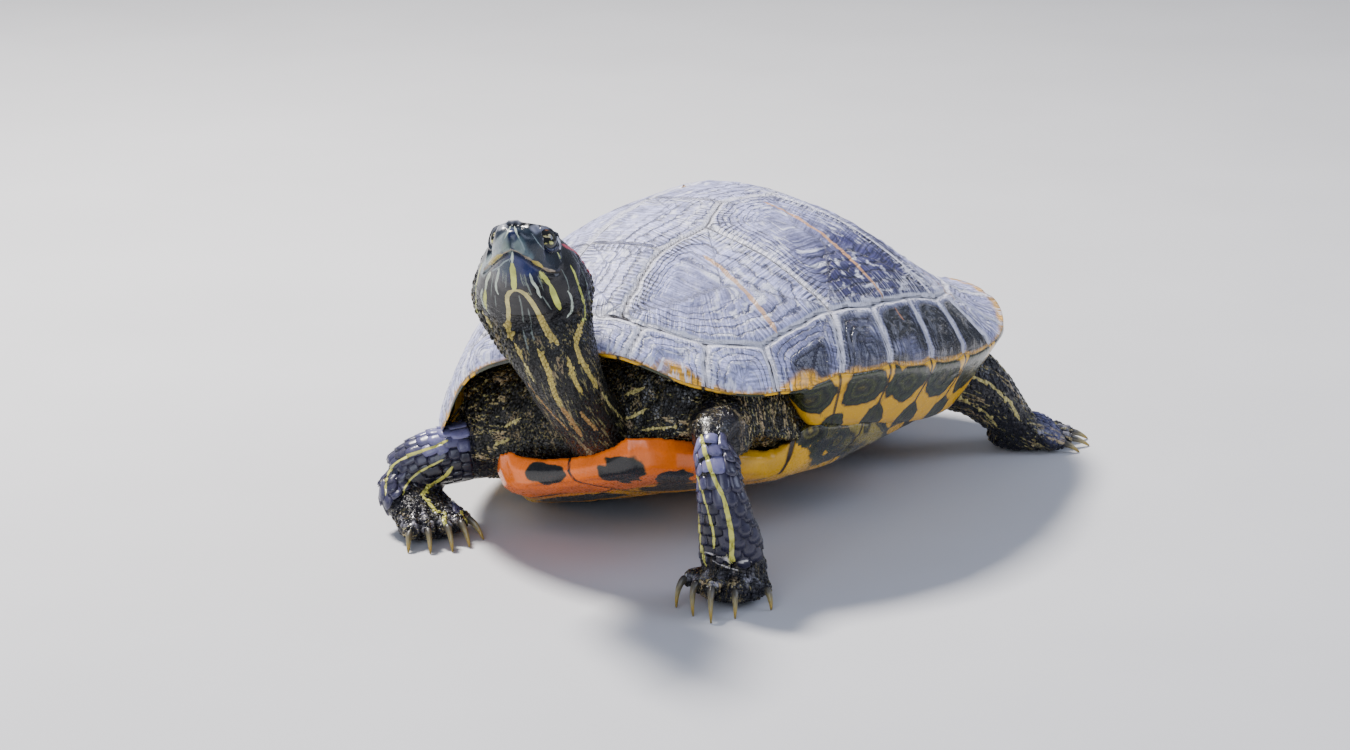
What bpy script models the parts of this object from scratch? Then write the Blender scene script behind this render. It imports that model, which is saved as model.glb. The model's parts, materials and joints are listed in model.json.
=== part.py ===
# A red-eared slider turtle, life size, basking with its head raised and its left side lifted.
# The shell is built in its own upright frame in millimetres and then rolled and pitched on to
# the floor; the head, neck, limbs and tail are laid out above the floor. +Z is up, the animal
# faces -Y and its left side is +X. The origin is under the middle of the bounding box.

from math import cos, pi, radians, sin

import bmesh
import bpy
import numpy as np
from mathutils import Matrix, Vector

MM = 0.001
GAP = 0.3
# The bone's cutter grows a little more, because its corners move less than its faces.
SHELL_GAP = 0.45

# Carapace, in the shell frame: z = 0 is the rim at the bridge.
CARAPACE_LENGTH = 240.0
CARAPACE_WIDTH = 183.0
DOME_HEIGHT = 74.6
APEX_Y = 0.0
WIDEST_Y = 4.0
FRONT_OUTLINE_POWER = 2.36
REAR_OUTLINE_POWER = 2.6
# Powers of the dome's profile towards the front, the sides and the rear.
DOME_OUTER_POWERS = (2.53, 1.81, 2.25)
DOME_INNER_POWERS = (0.85, 0.56, 2.31)
KEEL_HEIGHT = 1.0
SHELL_THICKNESS = 6.0
RIM_THICKNESS = 2.2
# Seams between marginal scutes: distance along the rim from the front midline, and the rim's height there.
MARGINAL_SEAMS = [31.7, 58.1, 84.5, 110.9, 137.3, 163.7, 190.0, 217.0, 247.0, 278.0, 311.0]
RIM_HEIGHTS = [37.0, 32.0, 15.5, 7.1, 6.6, 3.4, -1.5, -4.7, -5.0, -1.7, 6.3, 13.0, 14.6]
# Inner ends of those seams: distance along the rim and distance up the dome from the rim.
SEAM_HEADS = [
    (4.0, 14.0),
    (40.0, 15.5),
    (61.5, 17.6),
    (83.0, 17.3),
    (118.0, 24.0),
    (139.5, 23.3),
    (166.0, 26.0),
    (188.0, 24.0),
    (205.0, 25.0),
    (226.0, 25.5),
    (262.0, 25.0),
    (303.0, 22.0),
    (346.8, 19.0),
]

# Rings of the bone, out from the apex, under the margin and back up inside the dome.
RIM_STEPS = 32
TOP_SHARES = [0.27, 0.51, 0.7, 0.84, 0.93, 0.98]
MARGIN_UNDERSIDE = [(0.5, -2.2), (8.0, -10.5), (18.0, -19.9), (23.0, -15.5), (17.5, -4.0)]
FREE_UNDERSIDE = [0.5, 5.5, 12.0, 18.5, 22.0]
INNER_SHARES = [(0.74, 0.84), (0.42, 0.5)]
# The margin's underside meets the bridge this share of the way from the apex to the rim.
UNDERSIDE_SHARE = 0.82

# Scutes: how far a plate stands above the bone and how wide the seams are.
PLATE_RAISE = 1.1
PLATE_SINK = 2.4
PLATE_BEVEL = 0.45
MARGINAL_SINK = 1.4
SEAM_WIDTH = 1.5
LONGEST_PLATE_SIDE = 42.0
LONGEST_MARGINAL_SIDE = 26.0
MARGINAL_EDGE = 1.6
VERTEBRAL_SEAMS = [-69.2, -23.1, 25.0, 63.0]
VERTEBRAL_CORNERS = [27.6, 28.2, 26.4, 19.5]
VERTEBRAL_SIDES = [(33.3, -45.8), (34.0, 1.2), (31.0, 45.0)]
FIRST_VERTEBRAL_FRONT = (32.0, 16.5)
FIRST_VERTEBRAL_WAIST = (28.4, -87.4)
LAST_VERTEBRAL_HEAD = (318.0, 21.0)
CERVICAL_HALF_WIDTH = 4.5

# Plastron, in the shell frame.
PLASTRON_BOTTOM = -32.0
PLASTRON_THICKNESS = 7.0
PLASTRON_FRONT = -111.0
PLASTRON_REAR = 99.0
FRONT_LOBE_RISE = 22.0
FRONT_LOBE_START = -30.0
FRONT_CORNER_RISE = 3.5
BRIDGE_FRONT = -64.0
BRIDGE_REAR = 48.0
BRIDGE_HALF_WIDTH = 71.5
BRIDGE_TOP = -20.9
PLASTRON_SCUTE_SEAMS = [-88.0, -64.0, -30.0, 28.0, 68.0]
PLASTRON_RAISE = 0.8
PLASTRON_SINK = 1.6
LONGEST_PLASTRON_SIDE = 48.0
# Half width of the lobes and the bridge along the shell.
PLASTRON_OUTLINE = [
    (-111, 26.0),
    (-109, 31.0),
    (-104, 36.5),
    (-96, 41.5),
    (-86, 45.5),
    (-76, 48.5),
    (-69, 51.5),
    (-64, 60.0),
    (-58, 67.0),
    (-46, 70.5),
    (30, 71.5),
    (39, 69.0),
    (46, 62.0),
    (54, 52.0),
    (64, 48.5),
    (80, 43.0),
    (90, 35.0),
    (96, 26.0),
    (99, 17.0),
]
PLASTRON_SECTIONS = [-111, -108.5, -102, -90, -76, -68, -62, -54, -26, 12, 34, 44, 53, 66, 82, 93, 98]
PLASTRON_SHARES = [-0.96, -0.74, -0.38, 0.0, 0.38, 0.74, 0.96]
# How far the lobes' blunt ends bulge at the midline and at their corners.
FRONT_BULGE = (-2.5, -1.25)
REAR_BULGE = (-4.0, 2.0)

# Lie of the shell on the floor.
SHELL_ROLL = radians(14.0)
SHELL_PITCH = radians(1.5)
SHELL_LIFT = 39.0

# Head, measured from the middle between the mouth's corners: forward, left and up.
MOUTH_MIDDLE = Vector((4.4, -144.0, 114.6))
HEAD_YAW = radians(22.5)
HEAD_PITCH = radians(37.0)
BEAK_REACH = 22.0
MOUTH_HALF_WIDTH = 13.0
EYE_RADIUS = 4.9
EYE_PLACE = (6.8, 6.5, 8.2)
EYE_GAZE = (0.62, 0.9, 0.12)
LID_THICKNESS = 0.9
LID_OPENING = (4.3, 3.5)

HEAD_FORWARD = Vector((sin(HEAD_YAW) * cos(HEAD_PITCH), -cos(HEAD_YAW) * cos(HEAD_PITCH), sin(HEAD_PITCH)))
HEAD_LEFT = Vector((cos(HEAD_YAW), sin(HEAD_YAW), 0.0))
HEAD_UP = HEAD_FORWARD.cross(HEAD_LEFT)

# Head stations: distance forward, half width, height of the top and of the underside.
HEAD_STATIONS = [
    (-25.0, 19.3, 12.0, -14.6),
    (-19.0, 20.4, 15.4, -14.6),
    (-12.5, 19.3, 16.8, -13.2),
    (-6.0, 16.6, 16.9, -11.4),
    (0.0, 13.9, 16.2, -9.8),
    (6.0, 11.5, 15.2, -8.4),
    (11.0, 9.9, 14.2, -7.2),
    (16.0, 8.3, 12.9, -6.0),
    (20.0, 6.5, 11.6, -4.6),
    (22.6, 4.4, 10.4, -2.6),
    (23.6, 1.8, 8.8, 1.6),
]
# Neck stations: centre, half width and half height, from inside the torso to the head.
NECK_STATIONS = [
    ((3.0, -80.0, 38.0), 15.0, 11.5),
    ((5.0, -91.0, 42.5), 13.6, 11.2),
    ((6.8, -101.5, 48.5), 12.0, 10.6),
    ((7.5, -111.5, 57.0), 11.2, 10.4),
    ((7.8, -121.5, 67.8), 12.0, 10.6),
    ((8.4, -129.6, 80.0), 13.4, 11.0),
    ((4.4, -130.6, 89.5), 16.2, 12.6),
]
HEAD_PARTING = ((-0.4, -127.8, 94.5), (-0.42, 0.0, 0.9), 24.0)
HEAD_PLACE = (4.0, -143.0, 113.0)
NECK_PLACE = (9.0, -115.0, 60.0)

# Leg stations: centre, side direction, half width and half thickness.
LEGS = {
    "fore_left": dict(
        stations=[
            ((39, -72, 51), (0.3, 0.2, -1.0), 12.0, 10.5),
            ((48, -88, 53), (0.35, 0.2, -1.0), 12.0, 10.5),
            ((57, -107, 53), (0.6, 0.3, -0.7), 10.5, 9.0),
            ((63, -117.5, 45), (0.87, 0.5, 0.0), 8.6, 7.6),
            ((65.5, -119, 33), (0.87, 0.5, 0.0), 9.2, 6.8),
            ((67, -117, 20), (0.87, 0.5, 0.0), 10.2, 6.8),
            ((68, -114, 9), (0.87, 0.5, 0.0), 10.0, 7.0),
            ((68, -113, 4), (0.87, 0.5, 0.0), 8.0, 5.5),
        ],
        parting=((67.6, -115.5, 14.0), (0.06, 0.2, -1.0), 15.5),
        place=(60, -105, 40),
    ),
    "fore_right": dict(
        stations=[
            ((-40, -70, 27), (-0.1, 0.3, 1.0), 11.0, 10.0),
            ((-54, -82, 27.5), (-0.1, 0.4, 1.0), 10.5, 10.0),
            ((-67, -93, 25), (-0.2, 0.5, 1.0), 9.8, 9.2),
            ((-76, -99, 19.5), (-0.3, 0.7, 0.6), 9.6, 8.4),
            ((-74.5, -102, 13.5), (0.2, 0.95, 0.2), 10.4, 7.2),
            ((-67, -105, 9.5), (0.5, 0.87, 0.0), 11.0, 6.8),
            ((-60, -108, 7.0), (0.5, 0.87, 0.0), 10.4, 5.6),
        ],
        parting=((-70.0, -103.5, 10.8), (0.82, -0.3, -0.48), 15.5),
        place=(-65, -90, 22),
    ),
    "hind_left": dict(
        stations=[
            ((42, 50, 38), (-0.2, 0.5, 1.0), 15.0, 12.0),
            ((56, 62, 36), (-0.3, 0.5, 1.0), 14.0, 12.0),
            ((67, 73, 30), (-0.4, 0.5, 0.9), 12.5, 11.5),
            ((72, 82, 21), (-0.5, 0.7, 0.5), 10.5, 10.0),
            ((76, 89, 13), (-0.6, 0.75, 0.3), 9.6, 8.0),
            ((80, 93, 9), (-0.62, 0.78, 0.0), 9.4, 6.0),
        ],
        parting=((74.5, 86.5, 15.5), (0.4, 0.65, -0.65), 15.5),
        place=(66, 72, 28),
    ),
    "hind_right": dict(
        stations=[
            ((-34, 48, 22), (0.3, 0.3, 1.0), 12.0, 12.0),
            ((-46, 65, 19), (0.3, 0.3, 1.0), 11.0, 12.0),
            ((-57, 82, 15.5), (0.4, 0.4, 0.9), 9.8, 10.5),
            ((-66, 95, 12), (0.6, 0.5, 0.5), 9.4, 8.8),
            ((-73, 104, 9.0), (0.75, 0.6, 0.1), 9.4, 7.2),
            ((-77, 110, 7.0), (0.75, 0.6, 0.0), 9.0, 6.0),
        ],
        parting=((-70.0, 100.0, 10.6), (-0.55, 0.72, -0.4), 15.5),
        place=(-54, 76, 17),
    ),
}
TAIL = [
    ((2, 82, 30), (1.0, 0.0, 0.2), 10.5, 8.0),
    ((1, 97, 28), (1.0, 0.0, 0.2), 8.8, 7.2),
    ((0, 112, 22), (1.0, 0.0, 0.1), 6.4, 5.6),
    ((-3, 124, 12), (1.0, 0.0, 0.0), 4.6, 4.2),
    ((-8, 134, 3.2), (1.0, 0.2, 0.0), 3.0, 3.0),
    ((-16, 141, 1.2), (0.8, 0.6, 0.0), 1.4, 1.4),
]

# Torso stations in the shell frame: centre, half width and half height.
TORSO = [
    ((0, -103, 10), 14.0, 8.0),
    ((0, -99, 9), 38.0, 17.0),
    ((0, -90, 7), 58.0, 27.0),
    ((0, -76, 6), 72.0, 38.0),
    ((0, -50, 8), 82.0, 50.0),
    ((0, -10, 8), 86.0, 62.0),
    ((0, 40, 4), 84.0, 56.0),
    ((0, 74, 2), 74.0, 36.0),
    ((0, 94, 0), 52.0, 20.0),
    ((0, 104, -2), 20.0, 10.0),
]
FREE_MARGIN = 8.0
BRIDGE_MARGIN = 24.0
TORSO_CLEARANCE = 1.2

# Hands and feet: the pad, then each digit as knuckle, root of the claw and tip of the claw.
FEET = {
    "fore_left": dict(
        heel=(68, -103, 5.0),
        ball=(66.5, -123, 7.2),
        side=(0.92, 0.39, 0.0),
        widths=(6.5, 9.8, 11.2, 10.8, 7.5),
        heights=(4.0, 6.0, 6.0, 5.0, 3.2),
        digits=[
            ((57.0, -121.5, 9.0), (55.6, -126.5, 9.6), (54.0, -130.5, 0.3)),
            ((61.0, -124.5, 9.6), (61.6, -130.0, 10.0), (63.4, -135.4, 0.3)),
            ((66.0, -125.5, 9.2), (68.6, -131.8, 9.6), (72.0, -138.4, 0.3)),
            ((71.0, -121.0, 8.2), (74.2, -126.0, 8.2), (77.0, -130.8, 0.3)),
            ((75.0, -111.6, 6.6), (79.8, -114.4, 6.2), (83.4, -117.2, 0.3)),
        ],
    ),
    "fore_right": dict(
        heel=(-72, -102, 5.0),
        ball=(-55.5, -110.0, 6.4),
        side=(0.5, 0.87, 0.0),
        widths=(6.5, 10.0, 12.5, 12.0, 8.0),
        heights=(4.0, 6.0, 6.2, 5.2, 3.2),
        digits=[
            ((-55.0, -100.0, 6.4), (-50.0, -100.6, 6.6), (-42.6, -101.4, 0.3)),
            ((-53.0, -105.5, 7.2), (-48.4, -107.8, 7.4), (-42.2, -111.0, 0.3)),
            ((-54.0, -110.8, 7.4), (-49.8, -114.0, 7.6), (-44.6, -118.4, 0.3)),
            ((-57.5, -115.4, 7.0), (-54.4, -119.0, 7.0), (-50.4, -123.8, 0.3)),
            ((-62.0, -117.4, 6.0), (-60.4, -121.6, 5.8), (-58.0, -126.6, 0.3)),
        ],
    ),
    "hind_left": dict(
        heel=(71, 85, 9.0),
        ball=(86, 101, 5.6),
        side=(-0.62, 0.78, 0.1),
        widths=(6.0, 9.5, 12.0, 13.5, 10.5),
        heights=(6.0, 7.5, 6.0, 4.4, 2.6),
        digits=[
            ((90.5, 92.4, 4.4), (96.0, 94.6, 3.7), (101.4, 97.4, 0.3)),
            ((91.0, 98.5, 4.4), (95.4, 102.0, 3.8), (101.4, 107.0, 0.3)),
            ((88.5, 105.0, 4.4), (92.2, 109.6, 3.8), (97.0, 115.4, 0.3)),
            ((83.0, 109.5, 4.2), (85.4, 114.4, 3.6), (88.6, 120.4, 0.3)),
        ],
    ),
    "hind_right": dict(
        heel=(-71, 101, 7.0),
        ball=(-84, 120, 5.2),
        side=(-0.82, -0.56, 0.0),
        widths=(6.0, 9.5, 12.0, 13.5, 10.5),
        heights=(5.0, 6.6, 5.2, 4.0, 2.4),
        digits=[
            ((-77.0, 125.0, 3.8), (-78.0, 130.0, 3.4), (-79.4, 136.4, 0.3)),
            ((-83.5, 126.5, 4.0), (-86.4, 131.4, 3.6), (-90.0, 137.8, 0.3)),
            ((-89.5, 122.5, 4.0), (-93.4, 126.8, 3.6), (-98.4, 132.0, 0.3)),
            ((-92.5, 116.0, 3.8), (-97.2, 118.6, 3.4), (-103.2, 121.6, 0.3)),
        ],
    ),
}
CLAW_RADIUS = {"fore": 1.55, "hind": 1.35}
DIGIT_SIZES = [1.5, 1.75, 1.55, 1.15]


def clear_scene():
    for obj in list(bpy.data.objects):
        bpy.data.objects.remove(obj)


def make_material(name, colour, roughness):
    material = bpy.data.materials.new(name)
    material.use_nodes = True
    shader = material.node_tree.nodes["Principled BSDF"]
    shader.inputs["Base Color"].default_value = (*colour, 1.0)
    shader.inputs["Roughness"].default_value = roughness
    shader.inputs["Metallic"].default_value = 0.0
    return material


def add_mesh(name, points, faces):
    """A triangulated mesh object in metres from points in millimetres, with its faces pointing out."""
    mesh = bpy.data.meshes.new(name)
    mesh.from_pydata([tuple(float(c) * MM for c in p) for p in points], [], faces)
    obj = bpy.data.objects.new(name, mesh)
    bpy.context.scene.collection.objects.link(obj)
    shape = bmesh.new()
    shape.from_mesh(mesh)
    bmesh.ops.triangulate(shape, faces=shape.faces)
    bmesh.ops.recalc_face_normals(shape, faces=shape.faces)
    shape.to_mesh(mesh)
    shape.free()
    return obj


def shell_to_world(points):
    """Rolls the shell frame so that its left side rises, pitches its front up and lifts it off the floor."""
    points = np.asarray(points, float)
    x = points[:, 0] * cos(SHELL_ROLL) - points[:, 2] * sin(SHELL_ROLL)
    z = points[:, 0] * sin(SHELL_ROLL) + points[:, 2] * cos(SHELL_ROLL)
    y = points[:, 1] * cos(SHELL_PITCH) + z * sin(SHELL_PITCH)
    z = -points[:, 1] * sin(SHELL_PITCH) + z * cos(SHELL_PITCH)
    return np.stack([x, y, z + SHELL_LIFT], axis=-1)


# Boolean joins and cuts


def evaluated_copy(obj):
    graph = bpy.context.evaluated_depsgraph_get()
    return bpy.data.meshes.new_from_object(obj.evaluated_get(graph))


def apply_boolean(obj, others, operation, solver="EXACT"):
    """Joins or cuts with a collection of closed objects in one Boolean, then removes the collection."""
    group = bpy.data.collections.new("Tools")
    bpy.context.scene.collection.children.link(group)
    for other in others:
        for owner in list(other.users_collection):
            owner.objects.unlink(other)
        group.objects.link(other)
    modifier = obj.modifiers.new("Join", "BOOLEAN")
    modifier.operand_type = "COLLECTION"
    modifier.collection = group
    modifier.operation = operation
    modifier.solver = solver
    bpy.context.view_layer.update()
    mesh = evaluated_copy(obj)
    obj.modifiers.clear()
    obj.data = mesh
    for other in others:
        bpy.data.objects.remove(other)
    bpy.data.collections.remove(group)
    return obj


def closed_islands(mesh):
    """The separate closed surfaces of a mesh as lists of face indices."""
    shape = bmesh.new()
    shape.from_mesh(mesh)
    shape.faces.ensure_lookup_table()
    unseen = set(range(len(shape.faces)))
    islands = []
    while unseen:
        stack = [unseen.pop()]
        found = list(stack)
        while stack:
            for edge in shape.faces[stack.pop()].edges:
                for face in edge.link_faces:
                    if face.index in unseen:
                        unseen.remove(face.index)
                        stack.append(face.index)
                        found.append(face.index)
        islands.append(found)
    shape.free()
    return islands


def mesh_of_faces(mesh, faces, name):
    used = sorted({v for f in faces for v in mesh.polygons[f].vertices})
    place = {v: i for i, v in enumerate(used)}
    new = bpy.data.meshes.new(name)
    new.from_pydata(
        [mesh.vertices[v].co.copy() for v in used],
        [],
        [[place[v] for v in mesh.polygons[f].vertices] for f in faces],
    )
    return new


def tidy_mesh(mesh):
    """Triangulates a closed surface after its needle faces are collapsed."""
    shape = bmesh.new()
    shape.from_mesh(mesh)
    bmesh.ops.dissolve_degenerate(shape, edges=shape.edges, dist=0.000002)
    bmesh.ops.triangulate(shape, faces=shape.faces)
    shape.to_mesh(mesh)
    shape.free()


def keep_largest(obj):
    """Keeps only the largest closed surface, which fills sealed hollows and drops loose scraps."""
    islands = closed_islands(obj.data)
    obj.data = mesh_of_faces(obj.data, max(islands, key=len), obj.name)
    tidy_mesh(obj.data)
    return obj


def grow(obj, offset):
    """Moves a closed surface outwards by an offset in millimetres, to make a cutter with a gap."""
    shape = bmesh.new()
    shape.from_mesh(obj.data)
    shape.normal_update()
    moved = [vertex.co + vertex.normal * (offset * MM) for vertex in shape.verts]
    for vertex, place in zip(shape.verts, moved):
        vertex.co = place
    shape.to_mesh(obj.data)
    shape.free()
    return obj


def copies_of(objects):
    made = []
    for obj in objects:
        copy = obj.copy()
        copy.data = obj.data.copy()
        bpy.context.scene.collection.objects.link(copy)
        made.append(copy)
    return made


# Carapace


def outline_point(phi):
    """Rim point of the left side in plan; phi runs from 0 at the front to pi at the rear."""
    c, s = cos(phi), sin(phi)
    half_length = CARAPACE_LENGTH / 2
    length = half_length + WIDEST_Y if c > 0 else half_length - WIDEST_Y
    power = FRONT_OUTLINE_POWER if c > 0 else REAR_OUTLINE_POWER
    x = CARAPACE_WIDTH / 2 * abs(s) ** (2 / power)
    y = WIDEST_Y - length * np.sign(c) * abs(c) ** (2 / power)
    return x, y


OUTLINE = np.array([outline_point(phi) for phi in np.linspace(0, pi, 721)])
OUTLINE_ANGLE = np.arctan2(OUTLINE[:, 0], -(OUTLINE[:, 1] - APEX_Y))
ARC = np.concatenate([[0], np.cumsum(np.hypot(*np.diff(OUTLINE, axis=0).T))])
HALF_PERIMETER = ARC[-1]


def marginal_arcs():
    """Distances along the rim of the seams between marginals, from the cervical scute to the rear midline."""
    return [CERVICAL_HALF_WIDTH, *MARGINAL_SEAMS, HALF_PERIMETER]


RIM_ARCS = np.array([0.0, *MARGINAL_SEAMS, HALF_PERIMETER])
RIM_SLOPES = np.gradient(np.array(RIM_HEIGHTS), RIM_ARCS)
RIM_SLOPES[0] = RIM_SLOPES[-1] = 0.0


def rim_height(arc):
    """Height of the rim along its length: a smooth curve through the heights at the seams."""
    i = np.clip(np.searchsorted(RIM_ARCS, arc) - 1, 0, len(RIM_ARCS) - 2)
    step = RIM_ARCS[i + 1] - RIM_ARCS[i]
    t = (arc - RIM_ARCS[i]) / step
    heights = np.array(RIM_HEIGHTS)
    ahead = t**2 * (3 - 2 * t)
    bend = step * (RIM_SLOPES[i] * t * (1 - t) ** 2 - RIM_SLOPES[i + 1] * t**2 * (1 - t))
    return heights[i] * (1 - ahead) + heights[i + 1] * ahead + bend


def plan_at_arc(arc, side):
    """Rim point in plan at a distance along the rim from the front midline."""
    return side * np.interp(arc, ARC, OUTLINE[:, 0]), np.interp(arc, ARC, OUTLINE[:, 1])


def rim_beyond(x, y):
    """Direction of a plan point from the apex, the distance to the rim that way and the rim point's arc."""
    angle = np.arctan2(np.abs(x), -(y - APEX_Y))
    rim_x = np.interp(angle, OUTLINE_ANGLE, OUTLINE[:, 0])
    rim_y = np.interp(angle, OUTLINE_ANGLE, OUTLINE[:, 1])
    return angle, np.hypot(rim_x, rim_y - APEX_Y), np.interp(angle, OUTLINE_ANGLE, ARC)


def around(angle, values):
    """A value between those for the front, the sides and the rear of the shell."""
    front, side, rear = values
    weight = np.sin(angle) ** 2
    return side * weight + np.where(angle < pi / 2, front, rear) * (1 - weight)


def dome_height(x, y):
    """Height of the carapace's bone over a point of the plan, out to the rim."""
    angle, radius, arc = rim_beyond(x, y)
    share = np.minimum(np.hypot(x, y - APEX_Y) / radius, 1.0)
    rim = rim_height(arc)
    top = DOME_HEIGHT - PLATE_RAISE
    arch = (1 - share ** around(angle, DOME_OUTER_POWERS)) ** around(angle, DOME_INNER_POWERS)
    keel = KEEL_HEIGHT * np.exp(-((x / 5.0) ** 2)) * (1 - share**4)
    return rim + (top - rim) * arch + keel


# Lengths over the dome from the apex, for angles round it and shares of the way to the rim.
MERIDIAN_ANGLES = np.linspace(0, pi, 91)
MERIDIAN_SHARES = np.linspace(0, 1, 121)


def meridian_lengths():
    rows = []
    for angle in MERIDIAN_ANGLES:
        _, radius, _ = rim_beyond(sin(angle), APEX_Y - cos(angle))
        x = radius * MERIDIAN_SHARES * sin(angle)
        y = APEX_Y - radius * MERIDIAN_SHARES * cos(angle)
        steps = np.hypot(radius * np.diff(MERIDIAN_SHARES), np.diff(dome_height(x, y)))
        rows.append(np.concatenate([[0], np.cumsum(steps)]))
    return np.array(rows)


MERIDIANS = meridian_lengths()


def unroll(x, y):
    """Flattens a plan point of the dome so that distances from the apex are those over the surface."""
    angle, radius, _ = rim_beyond(x, y)
    share = np.hypot(x, y - APEX_Y) / radius
    lengths = [np.interp(angle, MERIDIAN_ANGLES, column) for column in MERIDIANS.T]
    length = np.interp(share, MERIDIAN_SHARES, lengths)
    return length * np.sign(x) * sin(angle), -length * cos(angle)


def unrolled_rim(arc, depth, side=1):
    """A flattened point at a distance along the rim and a distance up the dome from it."""
    x, y = plan_at_arc(arc, side)
    u, v = unroll(x, y)
    length = np.hypot(u, v)
    share = (length - depth) / length
    return u * share, v * share


def plan_of(u, v):
    """Plan point of a flattened point of the dome."""
    angle = np.arctan2(abs(u), -v)
    _, radius, _ = rim_beyond(sin(angle), APEX_Y - cos(angle))
    lengths = [np.interp(angle, MERIDIAN_ANGLES, column) for column in MERIDIANS.T]
    share = np.interp(np.hypot(u, v), lengths, MERIDIAN_SHARES)
    return np.sign(u) * radius * share * sin(angle), APEX_Y - radius * share * cos(angle)


def on_dome(u, v, rise):
    """Point at a height over the dome's surface, square to it, above a flattened point."""
    step = 0.5
    places = []
    for a, b in ((u, v), (u + step, v), (u, v + step)):
        x, y = plan_of(a, b)
        places.append(np.array([x, y, dome_height(x, y)]))
    normal = np.cross(places[1] - places[0], places[2] - places[0])
    return places[0] + normal / np.linalg.norm(normal) * rise


def inward(x, y, distance):
    """A plan point moved towards the apex by a distance in millimetres."""
    length = np.hypot(x, y - APEX_Y)
    share = (length - distance) / length
    return x * share, APEX_Y + (y - APEX_Y) * share


def bridge_weight(y):
    """1 beside the bridge, where the margin turns down to the plastron, and 0 at the openings."""
    front = 1 / (1 + np.exp(-(y - BRIDGE_FRONT) / 3.0))
    rear = 1 / (1 + np.exp((y - BRIDGE_REAR) / 3.0))
    return front * rear


def serration(arc):
    """Shallow notches of the rim where two marginal scutes meet, deepest at the rear."""
    seams = np.array(marginal_arcs())
    nearest = np.min(np.abs(seams - arc))
    rear = np.clip((arc / HALF_PERIMETER - 0.62) / 0.2, 0, 1)
    return (0.5 + 1.3 * rear) * np.exp(-((nearest / 4.0) ** 2))


def build_carapace_bone():
    """The bone of the carapace: a domed shell whose margin turns down and in at the bridges."""
    half = RIM_STEPS // 2
    arcs = [HALF_PERIMETER * i / half for i in range(half + 1)]
    sides = [(arc, 1) for arc in arcs] + [(arc, -1) for arc in arcs[-2:0:-1]]
    rim = [(*inward(*plan_at_arc(arc, side), serration(arc)), arc) for arc, side in sides]

    def scaled(share, drop):
        places = [(x * share, APEX_Y + (y - APEX_Y) * share) for x, y, _ in rim]
        return [(x, y, dome_height(x, y) - drop) for x, y in places]

    rings = [scaled(share, 0.0) for share in TOP_SHARES]
    rings.append([(x, y, rim_height(arc)) for x, y, arc in rim])
    for (depth, drop), free_depth in zip(MARGIN_UNDERSIDE, FREE_UNDERSIDE):
        ring = []
        for x, y, arc in rim:
            weight = bridge_weight(y * UNDERSIDE_SHARE)
            free = inward(x, y, free_depth)
            wall = RIM_THICKNESS + (SHELL_THICKNESS - 1.2 - RIM_THICKNESS) * min(1.0, free_depth / 9.0)
            free_place = np.array([*free, dome_height(*free) - wall])
            bridge_place = np.array([*inward(x, y, depth), rim_height(arc) + drop])
            ring.append(free_place * (1 - weight) + bridge_place * weight)
        rings.append(ring)
    for free_share, bridge_share in INNER_SHARES:
        ring = []
        for x, y, _ in rim:
            share = free_share + (bridge_share - free_share) * bridge_weight(y * UNDERSIDE_SHARE)
            x, y = x * share, APEX_Y + (y - APEX_Y) * share
            ring.append((x, y, dome_height(x, y) - SHELL_THICKNESS))
        rings.append(ring)

    apex = dome_height(0.0, APEX_Y)
    points = [place for ring in rings for place in ring]
    points += [(0, APEX_Y, apex), (0, APEX_Y, apex - SHELL_THICKNESS)]
    top, bottom = len(points) - 2, len(points) - 1
    count = len(rim)
    faces = []
    for i in range(count):
        j = (i + 1) % count
        faces.append([top, i, j])
        faces.append([(len(rings) - 1) * count + i, bottom, (len(rings) - 1) * count + j])
        for k in range(len(rings) - 1):
            faces.append([k * count + i, (k + 1) * count + i, (k + 1) * count + j, k * count + j])
    return add_mesh("carapace", shell_to_world(points), faces)


def shrink_polygon(corners, distance):
    """Moves every side of a polygon in by a distance, in plan."""
    corners = np.asarray(corners, float)
    count = len(corners)
    following = np.roll(corners, -1, axis=0)
    area = np.sum(corners[:, 0] * following[:, 1] - following[:, 0] * corners[:, 1])
    turn = 1.0 if area > 0 else -1.0
    moved = []
    for i in range(count):
        before, here, after = corners[i - 1], corners[i], corners[(i + 1) % count]
        a = (here - before) / np.linalg.norm(here - before)
        b = (after - here) / np.linalg.norm(after - here)
        normal_a = turn * np.array([-a[1], a[0]])
        normal_b = turn * np.array([-b[1], b[0]])
        spread = max(0.35, 1 + normal_a @ normal_b)
        moved.append(here + (normal_a + normal_b) * distance / spread)
    return np.array(moved)


def split_sides(corners, longest):
    """Adds points along the sides of a polygon so that none is longer than a length."""
    points = []
    for i, here in enumerate(corners):
        after = corners[(i + 1) % len(corners)]
        parts = max(1, int(np.ceil(np.linalg.norm(after - here) / longest)))
        points += [here + (after - here) * k / parts for k in range(parts)]
    return np.array(points)


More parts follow.
